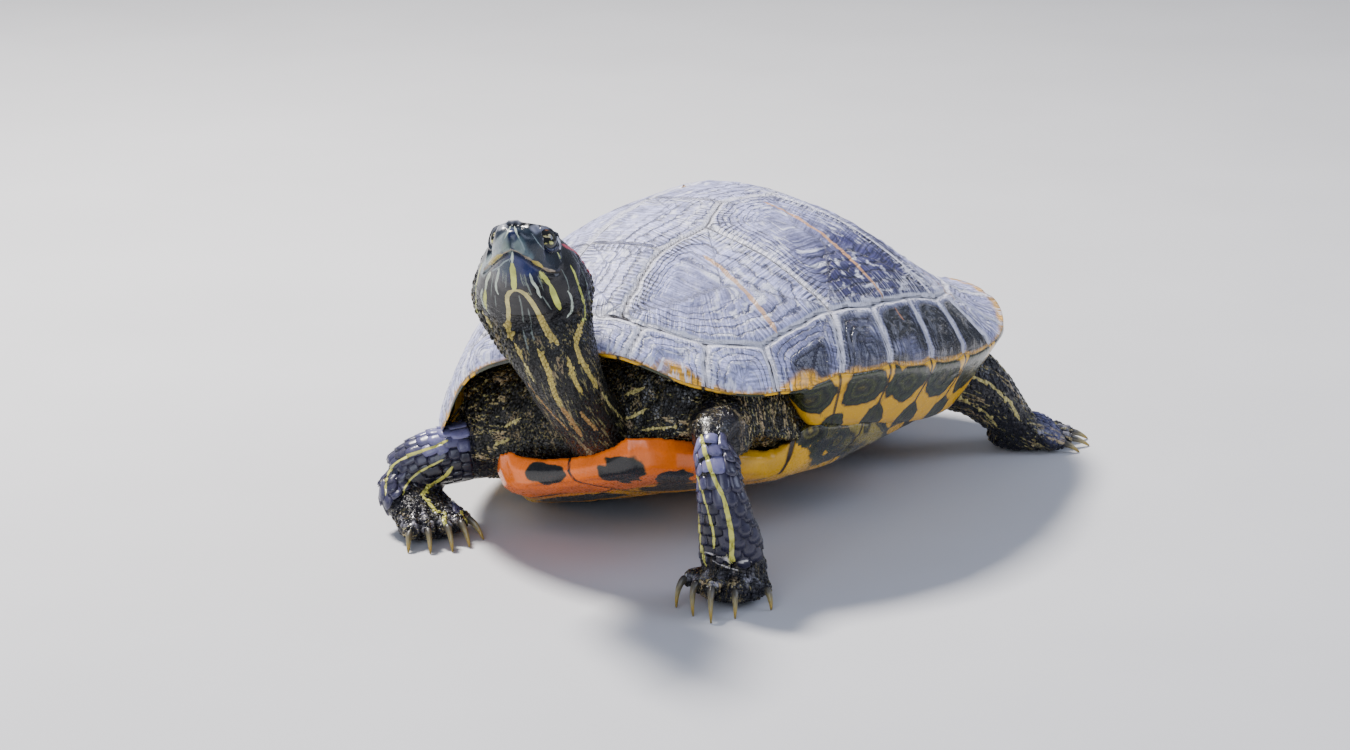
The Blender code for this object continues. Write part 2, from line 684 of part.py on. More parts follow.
def build_plate(corners, place, raised, sunk, longest, inner_ring=True):
    """One scute: a closed plate that follows a surface, standing proud of it with its root sunk in."""
    rim = split_sides(shrink_polygon(corners, SEAM_WIDTH / 2), longest)
    count = len(rim)
    middle = rim.mean(axis=0)
    rings = [(rim, -sunk), (rim, raised - PLATE_BEVEL), (middle + (rim - middle) * 0.86, raised)]
    if inner_ring:
        rings.append((middle + (rim - middle) * 0.45, raised))
    points = [place(x, y, rise) for ring, rise in rings for x, y in ring]
    points += [place(*middle, raised), place(*middle, -sunk)]
    top, bottom = len(points) - 2, len(points) - 1
    layers = [[count * k + i for i in range(count)] for k in range(len(rings))]
    faces = []
    for i in range(count):
        j = (i + 1) % count
        faces.append([bottom, layers[0][j], layers[0][i]])
        for low, high in zip(layers, layers[1:]):
            faces.append([low[i], low[j], high[j], high[i]])
        faces.append([layers[-1][i], layers[-1][j], top])
    return add_mesh("plate", shell_to_world(points), faces)


def mirrored(corners):
    return [(-x, y) for x, y in corners][::-1]


def carapace_scutes():
    """Corners of every vertebral and costal scute on the flattened dome."""
    heads = [unrolled_rim(*head) for head in SEAM_HEADS]
    sides = [unroll(*place) for place in VERTEBRAL_SIDES]
    corners = [unroll(x, y) for x, y in zip(VERTEBRAL_CORNERS, VERTEBRAL_SEAMS)]
    front = unrolled_rim(*FIRST_VERTEBRAL_FRONT)
    rear = unrolled_rim(*LAST_VERTEBRAL_HEAD)
    waist = unroll(*FIRST_VERTEBRAL_WAIST)
    halves = [
        [heads[0], front, waist, corners[0]],
        [corners[0], sides[0], corners[1]],
        [corners[1], sides[1], corners[2]],
        [corners[2], sides[2], corners[3]],
        [corners[3], rear, (6.0, heads[-1][1] - 0.5)],
    ]
    scutes = [half + mirrored(half) for half in halves]
    costals = [
        [front, *heads[1:5], sides[0], corners[0], waist],
        [sides[0], *heads[4:8], sides[1], corners[1]],
        [sides[1], *heads[7:10], sides[2], corners[2]],
        [sides[2], *heads[9:12], rear, corners[3]],
    ]
    for costal in costals:
        scutes += [costal, mirrored(costal)]
    return scutes


def carapace_marginals():
    """Corners of the marginal scutes and the cervical scute on the flattened dome."""
    arcs = marginal_arcs()
    heads = [unrolled_rim(*head) for head in SEAM_HEADS]
    scutes = []
    for i in range(12):
        places = np.linspace(arcs[i], arcs[i + 1], 3)
        outer = [unrolled_rim(arc, MARGINAL_EDGE + serration(arc)) for arc in places]
        scute = [heads[i], *outer, heads[i + 1]]
        if i == 11:
            scute = [heads[i], *outer[:2], (0.0, outer[2][1]), (0.0, heads[i + 1][1])]
        scutes += [scute, mirrored(scute)]
    half = [unrolled_rim(CERVICAL_HALF_WIDTH, MARGINAL_EDGE), heads[0]]
    scutes.append(half + mirrored(half))
    return scutes


def build_carapace():
    bone = build_carapace_bone()
    cutter = grow(copies_of([bone])[0], SHELL_GAP)
    plates = [build_plate(s, on_dome, PLATE_RAISE, PLATE_SINK, LONGEST_PLATE_SIDE) for s in carapace_scutes()]
    for scute in carapace_marginals():
        plates.append(build_plate(scute, on_dome, PLATE_RAISE, MARGINAL_SINK, LONGEST_MARGINAL_SIDE, False))
    apply_boolean(bone, plates, "UNION")
    cut(bone, [floor_cutter()])
    return keep_largest(bone), cutter


# Plastron


def plastron_half_width(y):
    """Half width of the plastron's lobes and, between them, of the bridge."""
    stations, widths = zip(*PLASTRON_OUTLINE)
    return np.interp(y, stations, widths)


def plastron_bottom(x, y):
    """Height of the plastron's underside: flat, turned up at the front lip and up the bridges."""
    front = np.clip((FRONT_LOBE_START - y) / (FRONT_LOBE_START - PLASTRON_FRONT), 0, 1)
    rise = FRONT_LOBE_RISE * front**1.5
    slope = np.clip((abs(x) - 46.0) / (BRIDGE_HALF_WIDTH - 46.0), 0, 1)
    wing = (BRIDGE_TOP - PLASTRON_BOTTOM) * slope**1.3 * bridge_weight(y)
    edge = 2.6 * np.clip(abs(x) / plastron_half_width(y), 0, 1) ** 6 * (1 - bridge_weight(y))
    return PLASTRON_BOTTOM + rise + wing + edge


def plastron_thickness(x, y):
    front = np.clip((FRONT_LOBE_START - y) / (FRONT_LOBE_START - PLASTRON_FRONT), 0, 1)
    share = np.clip(abs(x) / plastron_half_width(y), 0, 1)
    wing = bridge_weight(y) * share**4
    lip = PLASTRON_THICKNESS + front * (1.0 + FRONT_CORNER_RISE * share**2)
    return lip * (1 - wing) + 5.0 * wing


def build_plastron_bone():
    points = []
    rings = []
    for y in PLASTRON_SECTIONS:
        width = plastron_half_width(y)
        ring = []
        for share in PLASTRON_SHARES:
            ring.append((share * width, y, plastron_bottom(share * width, y)))
        tip = plastron_bottom(width, y) + 0.5 * plastron_thickness(width, y)
        ring.append((width, y, tip))
        for share in PLASTRON_SHARES[::-1]:
            x = share * width
            ring.append((x, y, plastron_bottom(x, y) + plastron_thickness(x, y)))
        ring.append((-width, y, tip))
        rings.append([len(points) + i for i in range(len(ring))])
        points += ring
    faces = []
    count = len(rings[0])
    for front, rear in zip(rings, rings[1:]):
        for i in range(count):
            j = (i + 1) % count
            faces.append([front[i], front[j], rear[j], rear[i]])
    wide = len(PLASTRON_SHARES)
    for ring, (bulge, corner) in ((rings[0], FRONT_BULGE), (rings[-1], REAR_BULGE)):
        first = len(points)
        for i, share in enumerate(PLASTRON_SHARES):
            middle = np.mean([points[ring[i]], points[ring[count - 2 - i]]], axis=0)
            middle[1] += bulge + (corner - bulge) * abs(share)
            points.append(tuple(middle))
        for i in range(wide - 1):
            faces.append([ring[i], ring[i + 1], first + i + 1, first + i])
            faces.append([ring[count - 3 - i], ring[count - 2 - i], first + i, first + i + 1])
        faces.append([ring[wide - 1], ring[wide], first + wide - 1])
        faces.append([ring[wide], ring[wide + 1], first + wide - 1])
        faces.append([ring[count - 2], ring[count - 1], first])
        faces.append([ring[count - 1], ring[0], first])
    return add_mesh("plastron", shell_to_world(points), faces)


def plastron_scutes():
    """Corners in plan of the six pairs of scutes under the plastron, on the left side."""
    bounds = [PLASTRON_FRONT + 2.0, *PLASTRON_SCUTE_SEAMS, PLASTRON_REAR - 3.0]
    scutes = []
    for i, (front, rear) in enumerate(zip(bounds, bounds[1:])):
        ends = []
        for y in np.linspace(front, rear, 4):
            ends.append((plastron_half_width(y) * 0.93, y))
        if i == 0:
            half = [(0.0, front + 0.5), *ends[:3], (0.0, rear + 6.0)]
        elif i == 1:
            half = [(0.0, bounds[1] + 6.0), (ends[0][0] * 0.9, ends[0][1] - 5.0), *ends[1:], (0.0, rear)]
        elif i == 5:
            half = [(0.0, front), *ends[:3], (ends[3][0], rear), (0.0, rear - 5.0)]
        else:
            half = [(0.0, front), *ends, (0.0, rear)]
        scutes += [half, mirrored(half)]
    return scutes


def under_plastron(x, y, rise):
    return np.array([x, y, plastron_bottom(x, y) - rise])


def build_plastron(carapace_cutter):
    """The plastron, whose bridges meet the carapace's margins a gap away."""
    bone = build_plastron_bone()
    cutter = grow(copies_of([bone])[0], SHELL_GAP)
    plates = []
    for scute in plastron_scutes():
        plates.append(
            build_plate(scute, under_plastron, PLASTRON_RAISE, PLASTRON_SINK, LONGEST_PLASTRON_SIDE, False)
        )
    apply_boolean(bone, plates, "UNION")
    cut(bone, [floor_cutter(), *copies_of([carapace_cutter])])
    return keep_largest(bone), cutter


# Lofted flesh


def resample(rows, places):
    """Catmull-Rom values of a table of stations at fractional station numbers."""
    rows = np.asarray(rows, float)
    last = len(rows) - 1
    out = []
    for place in places:
        i = min(int(place), last - 1)
        t = place - i
        a, b, c, d = rows[max(i - 1, 0)], rows[i], rows[i + 1], rows[min(i + 2, last)]
        curve = (c - a) + t * ((2 * a - 5 * b + 4 * c - d) + t * (3 * (b - c) + d - a))
        out.append(b + 0.5 * t * curve)
    return np.array(out)


def loft_points(rows, places, sides, power):
    """Rings of points through stations: centre, side direction, half width and half height."""
    table = resample(rows, places)
    centres = table[:, :3]
    tangents = np.gradient(centres, axis=0)
    points = []
    for centre, tangent, row in zip(centres, tangents, table):
        tangent = tangent / np.linalg.norm(tangent)
        side = row[3:6] - tangent * (row[3:6] @ tangent)
        side = side / np.linalg.norm(side)
        up = np.cross(tangent, side)
        for i in range(sides):
            angle = 2 * pi * (i + 0.5) / sides
            across = row[6] * np.sign(cos(angle)) * abs(cos(angle)) ** (2 / power)
            height = row[7] * np.sign(sin(angle)) * abs(sin(angle)) ** (2 / power)
            points.append(centre + side * across + up * height)
    return np.array([*points, centres[0], centres[-1]])


def loft_faces(count, sides):
    start, end = count * sides, count * sides + 1
    faces = []
    for i in range(sides):
        j = (i + 1) % sides
        faces.append([start, j, i])
        faces.append([end, (count - 1) * sides + i, (count - 1) * sides + j])
        for k in range(count - 1):
            faces.append([k * sides + i, k * sides + j, (k + 1) * sides + j, (k + 1) * sides + i])
    return faces


def loft(name, rows, places, sides, power=2.0, reshape=None):
    """A closed tube through stations, whose points a function may move before it is made."""
    points = loft_points(rows, places, sides, power)
    if reshape is not None:
        points = reshape(points)
    return add_mesh(name, points, loft_faces(len(places), sides))


def add_ball(name, centre, radii, frame, segments, rings):
    """An ellipsoid along the three directions of a frame."""
    shape = bmesh.new()
    bmesh.ops.create_uvsphere(shape, u_segments=segments, v_segments=rings, radius=1.0)
    axes = Matrix([direction * radius for direction, radius in zip(frame, radii)]).transposed()
    points = [axes @ vertex.co + centre for vertex in shape.verts]
    faces = [[v.index for v in face.verts] for face in shape.faces]
    shape.free()
    return add_mesh(name, points, faces)


def slab(centre, normal, radius):
    """A thin disc that parts the flesh, one gap thick."""
    turn = Vector(normal).normalized().to_track_quat("Z", "Y").to_matrix()
    sides = 24
    points = []
    for level in (-GAP / 2, GAP / 2):
        for i in range(sides):
            angle = 2 * pi * i / sides
            points.append(turn @ Vector((radius * cos(angle), radius * sin(angle), level)) + Vector(centre))
    faces = [list(range(sides))[::-1], list(range(sides, 2 * sides))]
    for i in range(sides):
        j = (i + 1) % sides
        faces.append([i, j, sides + j, sides + i])
    return add_mesh("slab", points, faces)


def floor_cutter():
    """A block whose top is the floor."""
    reach, depth = 300.0, 60.0
    corners = [(x, y, z) for z in (-depth, 0.0) for x, y in ((-1, -1), (1, -1), (1, 1), (-1, 1))]
    points = [(x * reach, y * reach, z) for x, y, z in corners]
    faces = [[0, 3, 2, 1], [4, 5, 6, 7], [0, 1, 5, 4], [1, 2, 6, 5], [2, 3, 7, 6], [3, 0, 4, 7]]
    return add_mesh("floor", points, faces)


def cut(obj, cutters, solver="EXACT"):
    for cutter in cutters:
        apply_boolean(obj, [cutter], "DIFFERENCE", solver)


def name_parts(obj, places):
    """Makes a node of each closed surface of a parted body, named by the place it lies nearest to."""
    islands = [mesh_of_faces(obj.data, faces, "part") for faces in closed_islands(obj.data)]
    middles = [np.mean([v.co for v in mesh.vertices], axis=0) / MM for mesh in islands]
    sizes = [len(mesh.polygons) for mesh in islands]
    nodes = []
    for name, place in places.items():
        reach = [np.linalg.norm(m - np.array(place)) + (0 if n > 60 else 1e6) for m, n in zip(middles, sizes)]
        node = bpy.data.objects.new(name, islands[int(np.argmin(reach))].copy())
        bpy.context.scene.collection.objects.link(node)
        nodes.append(keep_largest(node))
    bpy.data.objects.remove(obj)
    return nodes


# Head and neck


def head_point(forward, left, up):
    return MOUTH_MIDDLE + HEAD_FORWARD * forward + HEAD_LEFT * left + HEAD_UP * up


def head_local(points):
    """Forward, left and up distances of points from the middle between the mouth's corners."""
    offset = np.asarray(points) - np.array(MOUTH_MIDDLE)
    return offset @ np.array([HEAD_FORWARD, HEAD_LEFT, HEAD_UP]).T


def head_world(local):
    return local @ np.array([HEAD_FORWARD, HEAD_LEFT, HEAD_UP]) + np.array(MOUTH_MIDDLE)


def mouth_height(forward, left):
    """Height of the mouth line, which sags between the cheek and the notch of the beak."""
    share = np.clip(forward / BEAK_REACH, 0, 1)
    return -0.2 - 1.3 * np.sin(share * pi) + 1.5 * np.exp(-((left / 2.2) ** 2)) * share**3


def shape_head(points):
    """Sculpts the beak's ridge, the step of the lower jaw, the brows and the ear drums."""
    f, l, u = head_local(points).T.copy()
    beak = np.clip((f - 9.0) / 10.0, 0, 1)
    below = np.clip((mouth_height(f, l) - u) / 1.4, 0, 1) * np.clip((f + 1.0) / 4.0, 0, 1)
    l = l * (1 - 0.08 * below)
    f = f - (0.9 + 0.22 * np.clip(-u, 0, 8)) * below * beak
    tomium = np.exp(-(((u - mouth_height(f, l) - 1.2) / 1.3) ** 2)) * beak
    l = l * (1 + 0.05 * tomium)
    cheek = np.exp(-(((u - 3.6) / 2.6) ** 2)) * np.exp(-(((f - 9.0) / 8.0) ** 2))
    l = l * (1 - 0.05 * cheek)
    ear = np.exp(-(((f + 11.0) / 4.5) ** 2) - ((u - 3.0) / 4.5) ** 2) * (np.abs(l) > 8)
    l = l - np.sign(l) * 0.8 * ear
    return head_world(np.stack([f, l, u], axis=-1))


def head_and_neck_rows():
    rows = []
    turned = np.array(HEAD_LEFT)
    straight = np.array([1.0, 0.35, 0.0])
    for i, (centre, width, height) in enumerate(NECK_STATIONS):
        share = i / len(NECK_STATIONS)
        rows.append([*centre, *(straight * (1 - share) + turned * share), width, height])
    for forward, width, top, bottom in HEAD_STATIONS:
        rows.append([*head_point(forward, 0, (top + bottom) / 2), *turned, width, (top - bottom) / 2])
    return rows


def eye_centre(side):
    return head_point(EYE_PLACE[0], side * EYE_PLACE[1], EYE_PLACE[2])


def eye_frame(side):
    """The directions out of the eye, along the head and up across the eye."""
    gaze = (HEAD_LEFT * (side * EYE_GAZE[1]) + HEAD_FORWARD * EYE_GAZE[0] + HEAD_UP * EYE_GAZE[2]).normalized()
    along = (HEAD_FORWARD - gaze * HEAD_FORWARD.dot(gaze)).normalized()
    return gaze, along, gaze.cross(along)


def build_lids(side):
    """A ball of lids round the eye; the opening between them is cut out of it afterwards."""
    radius = EYE_RADIUS + LID_THICKNESS
    return add_ball("lids", eye_centre(side), (radius,) * 3, eye_frame(side), 14, 8)


def eye_cutters(side):
    """The socket that holds the eye and the round opening between the lids."""
    frame = eye_frame(side)
    socket = add_ball("socket", eye_centre(side), (EYE_RADIUS + GAP,) * 3, frame, 14, 8)
    opening_centre = eye_centre(side) + frame[0] * (EYE_RADIUS + 0.6)
    opening = add_ball("opening", opening_centre, (3.4, LID_OPENING[0], LID_OPENING[1]), frame, 16, 6)
    return [socket, opening]


def mouth_cutter():
    """A thin horseshoe that cuts the line of the mouth round the beak."""
    points = []
    steps = 18
    for i in range(steps + 1):
        angle = -pi / 2 + pi * i / steps
        f = (BEAK_REACH + 1.5) * max(cos(angle), 0.0) ** 0.9
        l = MOUTH_HALF_WIDTH * np.sign(sin(angle)) * abs(sin(angle)) ** 0.72
        u = mouth_height(f, l)
        for share, height in ((0.72, -0.35), (1.25, -0.35), (1.25, 0.35), (0.72, 0.35)):
            points.append(head_point(f * share, l * share, u + height))
    faces = [[0, 1, 2, 3], [4 * steps + 3, 4 * steps + 2, 4 * steps + 1, 4 * steps]]
    for i in range(steps):
        for k in range(4):
            n = (k + 1) % 4
            faces.append([4 * i + k, 4 * i + n, 4 * i + 4 + n, 4 * i + 4 + k])
    return add_mesh("mouth", points, faces)


def nostril_cutter(side):
    centre = head_point(BEAK_REACH + 1.2, side * 1.0, 8.9)
    return add_ball("nostril", centre, (2.2, 0.55, 0.7), (HEAD_FORWARD, HEAD_LEFT, HEAD_UP), 8, 6)


def build_head_and_neck(shell_cutters):
    rows = head_and_neck_rows()
    neck = len(NECK_STATIONS)
    places = [i * 0.6 for i in range(int(neck / 0.6))]
    places += [neck + i * 0.5 for i in range(2 * (len(rows) - neck) - 1)]
    flesh = loft("flesh", rows, places, 24, 2.25, shape_head)
    socket = grow(loft("root", rows, places[:7], 24, 2.25), GAP)
    apply_boolean(flesh, [build_lids(1), build_lids(-1)], "UNION")
    cutters = [*shell_cutters, mouth_cutter(), slab(*HEAD_PARTING)]
    for side in (1, -1):
        cutters += [*eye_cutters(side), nostril_cutter(side)]
    cut(flesh, cutters)
    return name_parts(flesh, {"head": HEAD_PLACE, "neck": NECK_PLACE}), socket


def build_eye(name, side):
    return add_ball(name, eye_centre(side), (EYE_RADIUS,) * 3, eye_frame(side), 14, 8)


# Limbs and tail


def limb_rows(stations):
    return [[*centre, *side, width, height] for centre, side, width, height in stations]


def build_foot_pad(foot):
    """The hand's or foot's flat body from its heel to the roots of its toes."""
    heel, ball = np.array(foot["heel"], float), np.array(foot["ball"], float)
    rows = []
    for share, width, height in zip([0.0, 0.3, 0.62, 0.9, 1.12], foot["widths"], foot["heights"]):
        rows.append([*(heel + (ball - heel) * share), *foot["side"], width, height])
    return loft("pad", rows, [0, 0.5, 1.2, 2, 3, 3.6, 4], 12, 2.3)


def build_digit(knuckle, claw_root, radius):
    """A short toe from inside the foot to its claw."""
    start, end = np.array(knuckle, float), np.array(claw_root, float)
    way = (end - start) / np.linalg.norm(end - start)
    side = np.cross(way, (0, 0, 1.0))
    places = [start - way * 5.0, start, end - way * 1.2, end]
    rows = [[*place, *side, radius * size, radius * size] for place, size in zip(places, DIGIT_SIZES)]
    return loft("digit", rows, [0, 1.2, 3], 6)


def build_claw(name, knuckle, claw_root, tip, radius):
    """A curved, tapering claw that starts a gap beyond its toe."""
    knuckle, root, tip = (np.array(place, float) for place in (knuckle, claw_root, tip))
    way = (root - knuckle) / np.linalg.norm(root - knuckle)
    start = root + way * GAP
    bend = start + way * np.linalg.norm(tip - start) * 0.42
    side = np.cross(way, (0, 0, 1.0))
    rows = []
    for t, size in zip([0.0, 0.12, 0.45, 0.78, 1.0], [1.0, 0.96, 0.74, 0.4, 0.12]):
        place = start * (1 - t) ** 2 + bend * 2 * t * (1 - t) + tip * t**2
        rows.append([*place, *side, radius * size * 0.82, radius * size])
    return loft(name, rows, [0, 1, 2, 3, 4], 6)


def build_leg(name, shell_cutters):
    """A leg and its foot as one body, then parted at the wrist or ankle."""
    leg, foot = LEGS[name], FEET[name]
    rows = limb_rows(leg["stations"])
    places = [i * 0.5 for i in range(2 * len(rows) - 1)]
    flesh = loft(name, rows, places, 14, 2.2)
    socket = grow(loft("root", rows, places[:7], 14, 2.2), GAP)
    kind, side = name.split("_")
    radius = CLAW_RADIUS[kind]
    pieces = [build_foot_pad(foot)]
    pieces += [build_digit(knuckle, root, radius) for knuckle, root, _ in foot["digits"]]
    apply_boolean(flesh, pieces, "UNION")
    cut(flesh, [*shell_cutters, floor_cutter(), slab(*leg["parting"])])
    middle = foot["ball"]
    nodes = name_parts(flesh, {f"{kind}leg_{side}": leg["place"], f"{kind}foot_{side}": middle})
    return nodes, socket


def build_claws():
    claws = []
    for name, foot in FEET.items():
        for i, (knuckle, root, tip) in enumerate(foot["digits"]):
            radius = CLAW_RADIUS[name.split("_")[0]]
            claws.append(build_claw(f"claw_{name}_{i + 1}", knuckle, root, tip, radius))
    return claws


def build_tail(shell_cutters):
    rows = limb_rows(TAIL)
    places = [i * 0.5 for i in range(2 * len(rows) - 1)]
    tail = loft("tail", rows, places, 12, 2.1)
    socket = grow(loft("root", rows, places[:5], 12, 2.1), GAP)
    cut(tail, [*shell_cutters, floor_cutter()])
    return keep_largest(tail), socket


# Torso


def clamp_to_shell(points):
    """Keeps the torso's points between the dome's inner wall and the plastron, behind the margins."""
    inner = []
    for x, y, z in points:
        _, radius, arc = rim_beyond(x, y)
        rim_y = np.interp(arc, ARC, OUTLINE[:, 1])
        limit = radius - (FREE_MARGIN + (BRIDGE_MARGIN - FREE_MARGIN) * bridge_weight(rim_y * UNDERSIDE_SHARE))
        reach = np.hypot(x, y - APEX_Y)
        if reach > limit:
            x, y = x * limit / reach, APEX_Y + (y - APEX_Y) * limit / reach
        roof = dome_height(x, y) - SHELL_THICKNESS - TORSO_CLEARANCE
        bed = plastron_bottom(x, y) + plastron_thickness(x, y) + TORSO_CLEARANCE
        inner.append((x, y, min(max(z, bed), roof)))
    return np.array(inner)


def build_torso(shell_cutters, sockets):
    rows = [[*centre, 1.0, 0.0, 0.0, width, height] for centre, width, height in TORSO]
    places = [0, 0.5, 1, 1.6, 2.3, 3, 3.8, 4.6, 5.4, 6.2, 7, 7.6, 8.2, 9]
    torso = loft("torso", rows, places, 18, 3.6, lambda points: shell_to_world(clamp_to_shell(points)))
    cut(torso, [*shell_cutters, *sockets, floor_cutter()], "MANIFOLD")
    return keep_largest(torso)


def build_flesh(shell_cutters):
    """The soft body: each limb has a root in a pocket of the torso, a gap clear of it all round."""
    nodes, sockets = build_head_and_neck(copies_of(shell_cutters))
    sockets = [sockets]
    for name in LEGS:
        leg_nodes, socket = build_leg(name, copies_of(shell_cutters))
        nodes += leg_nodes
        sockets.append(socket)
    tail, socket = build_tail(copies_of(shell_cutters))
    nodes += [tail, build_torso(shell_cutters, [*sockets, socket])]
    return nodes


def dress(objects, material):
    for obj in objects:
        obj.data.materials.clear()
        obj.data.materials.append(material)
        obj.data.shade_smooth()
        obj.data.set_sharp_from_angle(angle=radians(40))


def centre_on_floor(objects):
    """Moves everything so that the origin lies under the middle of the bounding box."""
    corners = np.array([v.co for obj in objects for v in obj.data.vertices])
    low, high = corners.min(axis=0), corners.max(axis=0)
    shift = Matrix.Translation((-(low[0] + high[0]) / 2, -(low[1] + high[1]) / 2, -low[2]))
    for obj in objects:
        obj.data.transform(shift)


def main():
    clear_scene()
    carapace, carapace_cutter = build_carapace()
    plastron, plastron_cutter = build_plastron(carapace_cutter)
    flesh = build_flesh([carapace_cutter, plastron_cutter])
    eyes = [build_eye("eye_left", 1), build_eye("eye_right", -1)]
    claws = build_claws()
    dress([carapace], make_material("weathered_keratin", (0.10, 0.10, 0.13), 0.45))
    dress([plastron], make_material("plastron_keratin", (0.80, 0.38, 0.05), 0.4))
    dress(flesh, make_material("striped_skin", (0.03, 0.035, 0.03), 0.5))
    dress(eyes, make_material("wet_eye", (0.45, 0.42, 0.10), 0.1))
    dress(claws, make_material("claw_horn", (0.45, 0.42, 0.33), 0.35))
    centre_on_floor([carapace, plastron, *flesh, *eyes, *claws])


main()
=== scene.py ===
# Looks of a red-eared slider turtle that basks with its head raised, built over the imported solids.
import json
from functools import partial
from math import cos, pi, radians, sin

import bmesh
import bpy
import numpy as np
from mathutils import Matrix, Vector
from mathutils.bvhtree import BVHTree

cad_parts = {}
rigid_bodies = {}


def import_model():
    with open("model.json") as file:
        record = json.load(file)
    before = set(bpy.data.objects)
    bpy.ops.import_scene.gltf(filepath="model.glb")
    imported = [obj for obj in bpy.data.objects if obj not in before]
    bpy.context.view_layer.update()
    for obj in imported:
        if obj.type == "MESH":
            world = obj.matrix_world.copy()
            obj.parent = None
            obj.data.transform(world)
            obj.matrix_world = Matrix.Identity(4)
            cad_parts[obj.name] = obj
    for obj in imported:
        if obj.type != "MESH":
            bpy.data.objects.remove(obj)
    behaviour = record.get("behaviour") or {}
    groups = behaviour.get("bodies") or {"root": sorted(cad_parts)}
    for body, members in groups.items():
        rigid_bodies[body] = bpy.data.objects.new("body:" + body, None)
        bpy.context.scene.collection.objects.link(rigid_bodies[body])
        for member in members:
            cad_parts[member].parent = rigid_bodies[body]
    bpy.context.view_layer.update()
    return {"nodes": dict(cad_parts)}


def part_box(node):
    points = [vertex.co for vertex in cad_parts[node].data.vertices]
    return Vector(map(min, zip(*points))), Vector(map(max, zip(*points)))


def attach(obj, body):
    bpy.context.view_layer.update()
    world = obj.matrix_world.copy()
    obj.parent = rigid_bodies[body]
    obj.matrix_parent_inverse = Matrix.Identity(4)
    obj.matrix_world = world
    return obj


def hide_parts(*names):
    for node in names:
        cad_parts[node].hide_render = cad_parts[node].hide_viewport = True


for thing in list(bpy.data.objects):
    bpy.data.objects.remove(thing)
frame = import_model()
mm = 0.001
print("frame loaded")

# Lie of the shell and of the head, in millimetres, before the whole animal is set over the origin
shellLie = {"roll": radians(14.0), "pitch": radians(1.5), "lift": 39.0}
headLie = {
    "mouthMiddle": (4.4, -144.0, 114.6),
    "yaw": radians(22.5),
    "pitch": radians(37.0),
    "eyePlace": (6.8, 6.5, 8.2),  # forward, left, up
    "eyeRadius": 4.9,
    "beakReach": 22.0,
}
yaw, pitch = headLie["yaw"], headLie["pitch"]
headForward = np.array([sin(yaw) * cos(pitch), -cos(yaw) * cos(pitch), sin(pitch)])
headLeft = np.array([cos(yaw), sin(yaw), 0.0])
headUp = np.cross(headForward, headLeft)
headAxes = np.array([headForward, headLeft, headUp])
eyeLow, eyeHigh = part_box("eye_left")
eyeOffset = np.array(headLie["eyePlace"]) @ headAxes
shift = np.array((eyeLow + eyeHigh) / 2) / mm - eyeOffset - np.array(headLie["mouthMiddle"])
mouthMiddle = np.array(headLie["mouthMiddle"]) + shift


def shellToWorld(points):
    x, y, z = np.asarray(points, float).T
    across = x * cos(shellLie["roll"]) - z * sin(shellLie["roll"])
    height = x * sin(shellLie["roll"]) + z * cos(shellLie["roll"])
    along = y * cos(shellLie["pitch"]) + height * sin(shellLie["pitch"])
    height = -y * sin(shellLie["pitch"]) + height * cos(shellLie["pitch"]) + shellLie["lift"]
    return np.stack([across, along, height], axis=-1) + shift


def worldToShell(points):
    across, along, height = (np.asarray(points, float) - shift).T
    height = height - shellLie["lift"]
    y = along * cos(shellLie["pitch"]) - height * sin(shellLie["pitch"])
    lifted = along * sin(shellLie["pitch"]) + height * cos(shellLie["pitch"])
    x = across * cos(shellLie["roll"]) + lifted * sin(shellLie["roll"])
    z = -across * sin(shellLie["roll"]) + lifted * cos(shellLie["roll"])
    return np.stack([x, y, z], axis=-1)


def headLocal(points):
    return (np.asarray(points, float) - mouthMiddle) @ headAxes.T


# Camera at the picture's angle; its frame is 1350 by 750
cameraView = {
    "place": (632.8, -1126.1, 413.3),
    "azimuth": radians(30.16),
    "elevation": radians(16.04),
    "roll": radians(-0.465),
    "lens": 96.1,
    "sensor": 36.0,
    "frame": (1350, 750),
    "pixelsPerMm": 2.9,
}


def cameraAxes():
    a, e, r = cameraView["azimuth"], cameraView["elevation"], cameraView["roll"]
    back = np.array([sin(a) * cos(e), -cos(a) * cos(e), sin(e)])
    right = np.array([cos(a), sin(a), 0.0])
    up = np.cross(back, right)
    return right * cos(r) + up * sin(r), up * cos(r) - right * sin(r), back


cameraPlace = np.array(cameraView["place"]) + shift
right, up, back = cameraAxes()
frameWidth, frameHeight = cameraView["frame"]
focal = cameraView["lens"] / cameraView["sensor"] * frameWidth
cameraData = bpy.data.cameras.new("camera")
cameraData.lens = cameraView["lens"]
cameraData.sensor_width = cameraView["sensor"]
cameraData.clip_start = 0.05
camera = bpy.data.objects.new("camera", cameraData)
bpy.context.scene.collection.objects.link(camera)
turn = Matrix((right, up, back)).transposed().to_4x4()
camera.matrix_world = Matrix.Translation(Vector(cameraPlace * mm)) @ turn
bpy.context.scene.camera = camera


def boxMiddle(node):
    low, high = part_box(node)
    return np.array((low + high) / 2) / mm


def pixelRay(x, y):
    return unit(right * (x - frameWidth / 2) / focal + up * (frameHeight / 2 - y) / focal - back)


def framePlace(points):
    # where points fall in the picture's frame
    gap = points - cameraPlace
    far = -(gap @ back)
    x, y = frameWidth / 2 + gap @ right / far * focal, frameHeight / 2 - gap @ up / far * focal
    return np.stack([x, y], axis=-1)


# Number helpers


def smooth(value, low, high):
    t = np.clip((value - low) / (high - low), 0, 1)
    return t * t * (3 - 2 * t)


def bell(value, width):
    return np.exp(-((value / width) ** 2))


def unit(way):
    return way / np.linalg.norm(way)


def lengthsOf(gaps):
    return np.linalg.norm(gaps, axis=1)


def pathReach(path):
    # length along a path at each of its points
    return np.concatenate([[0], np.cumsum(lengthsOf(np.diff(path, axis=0)))])


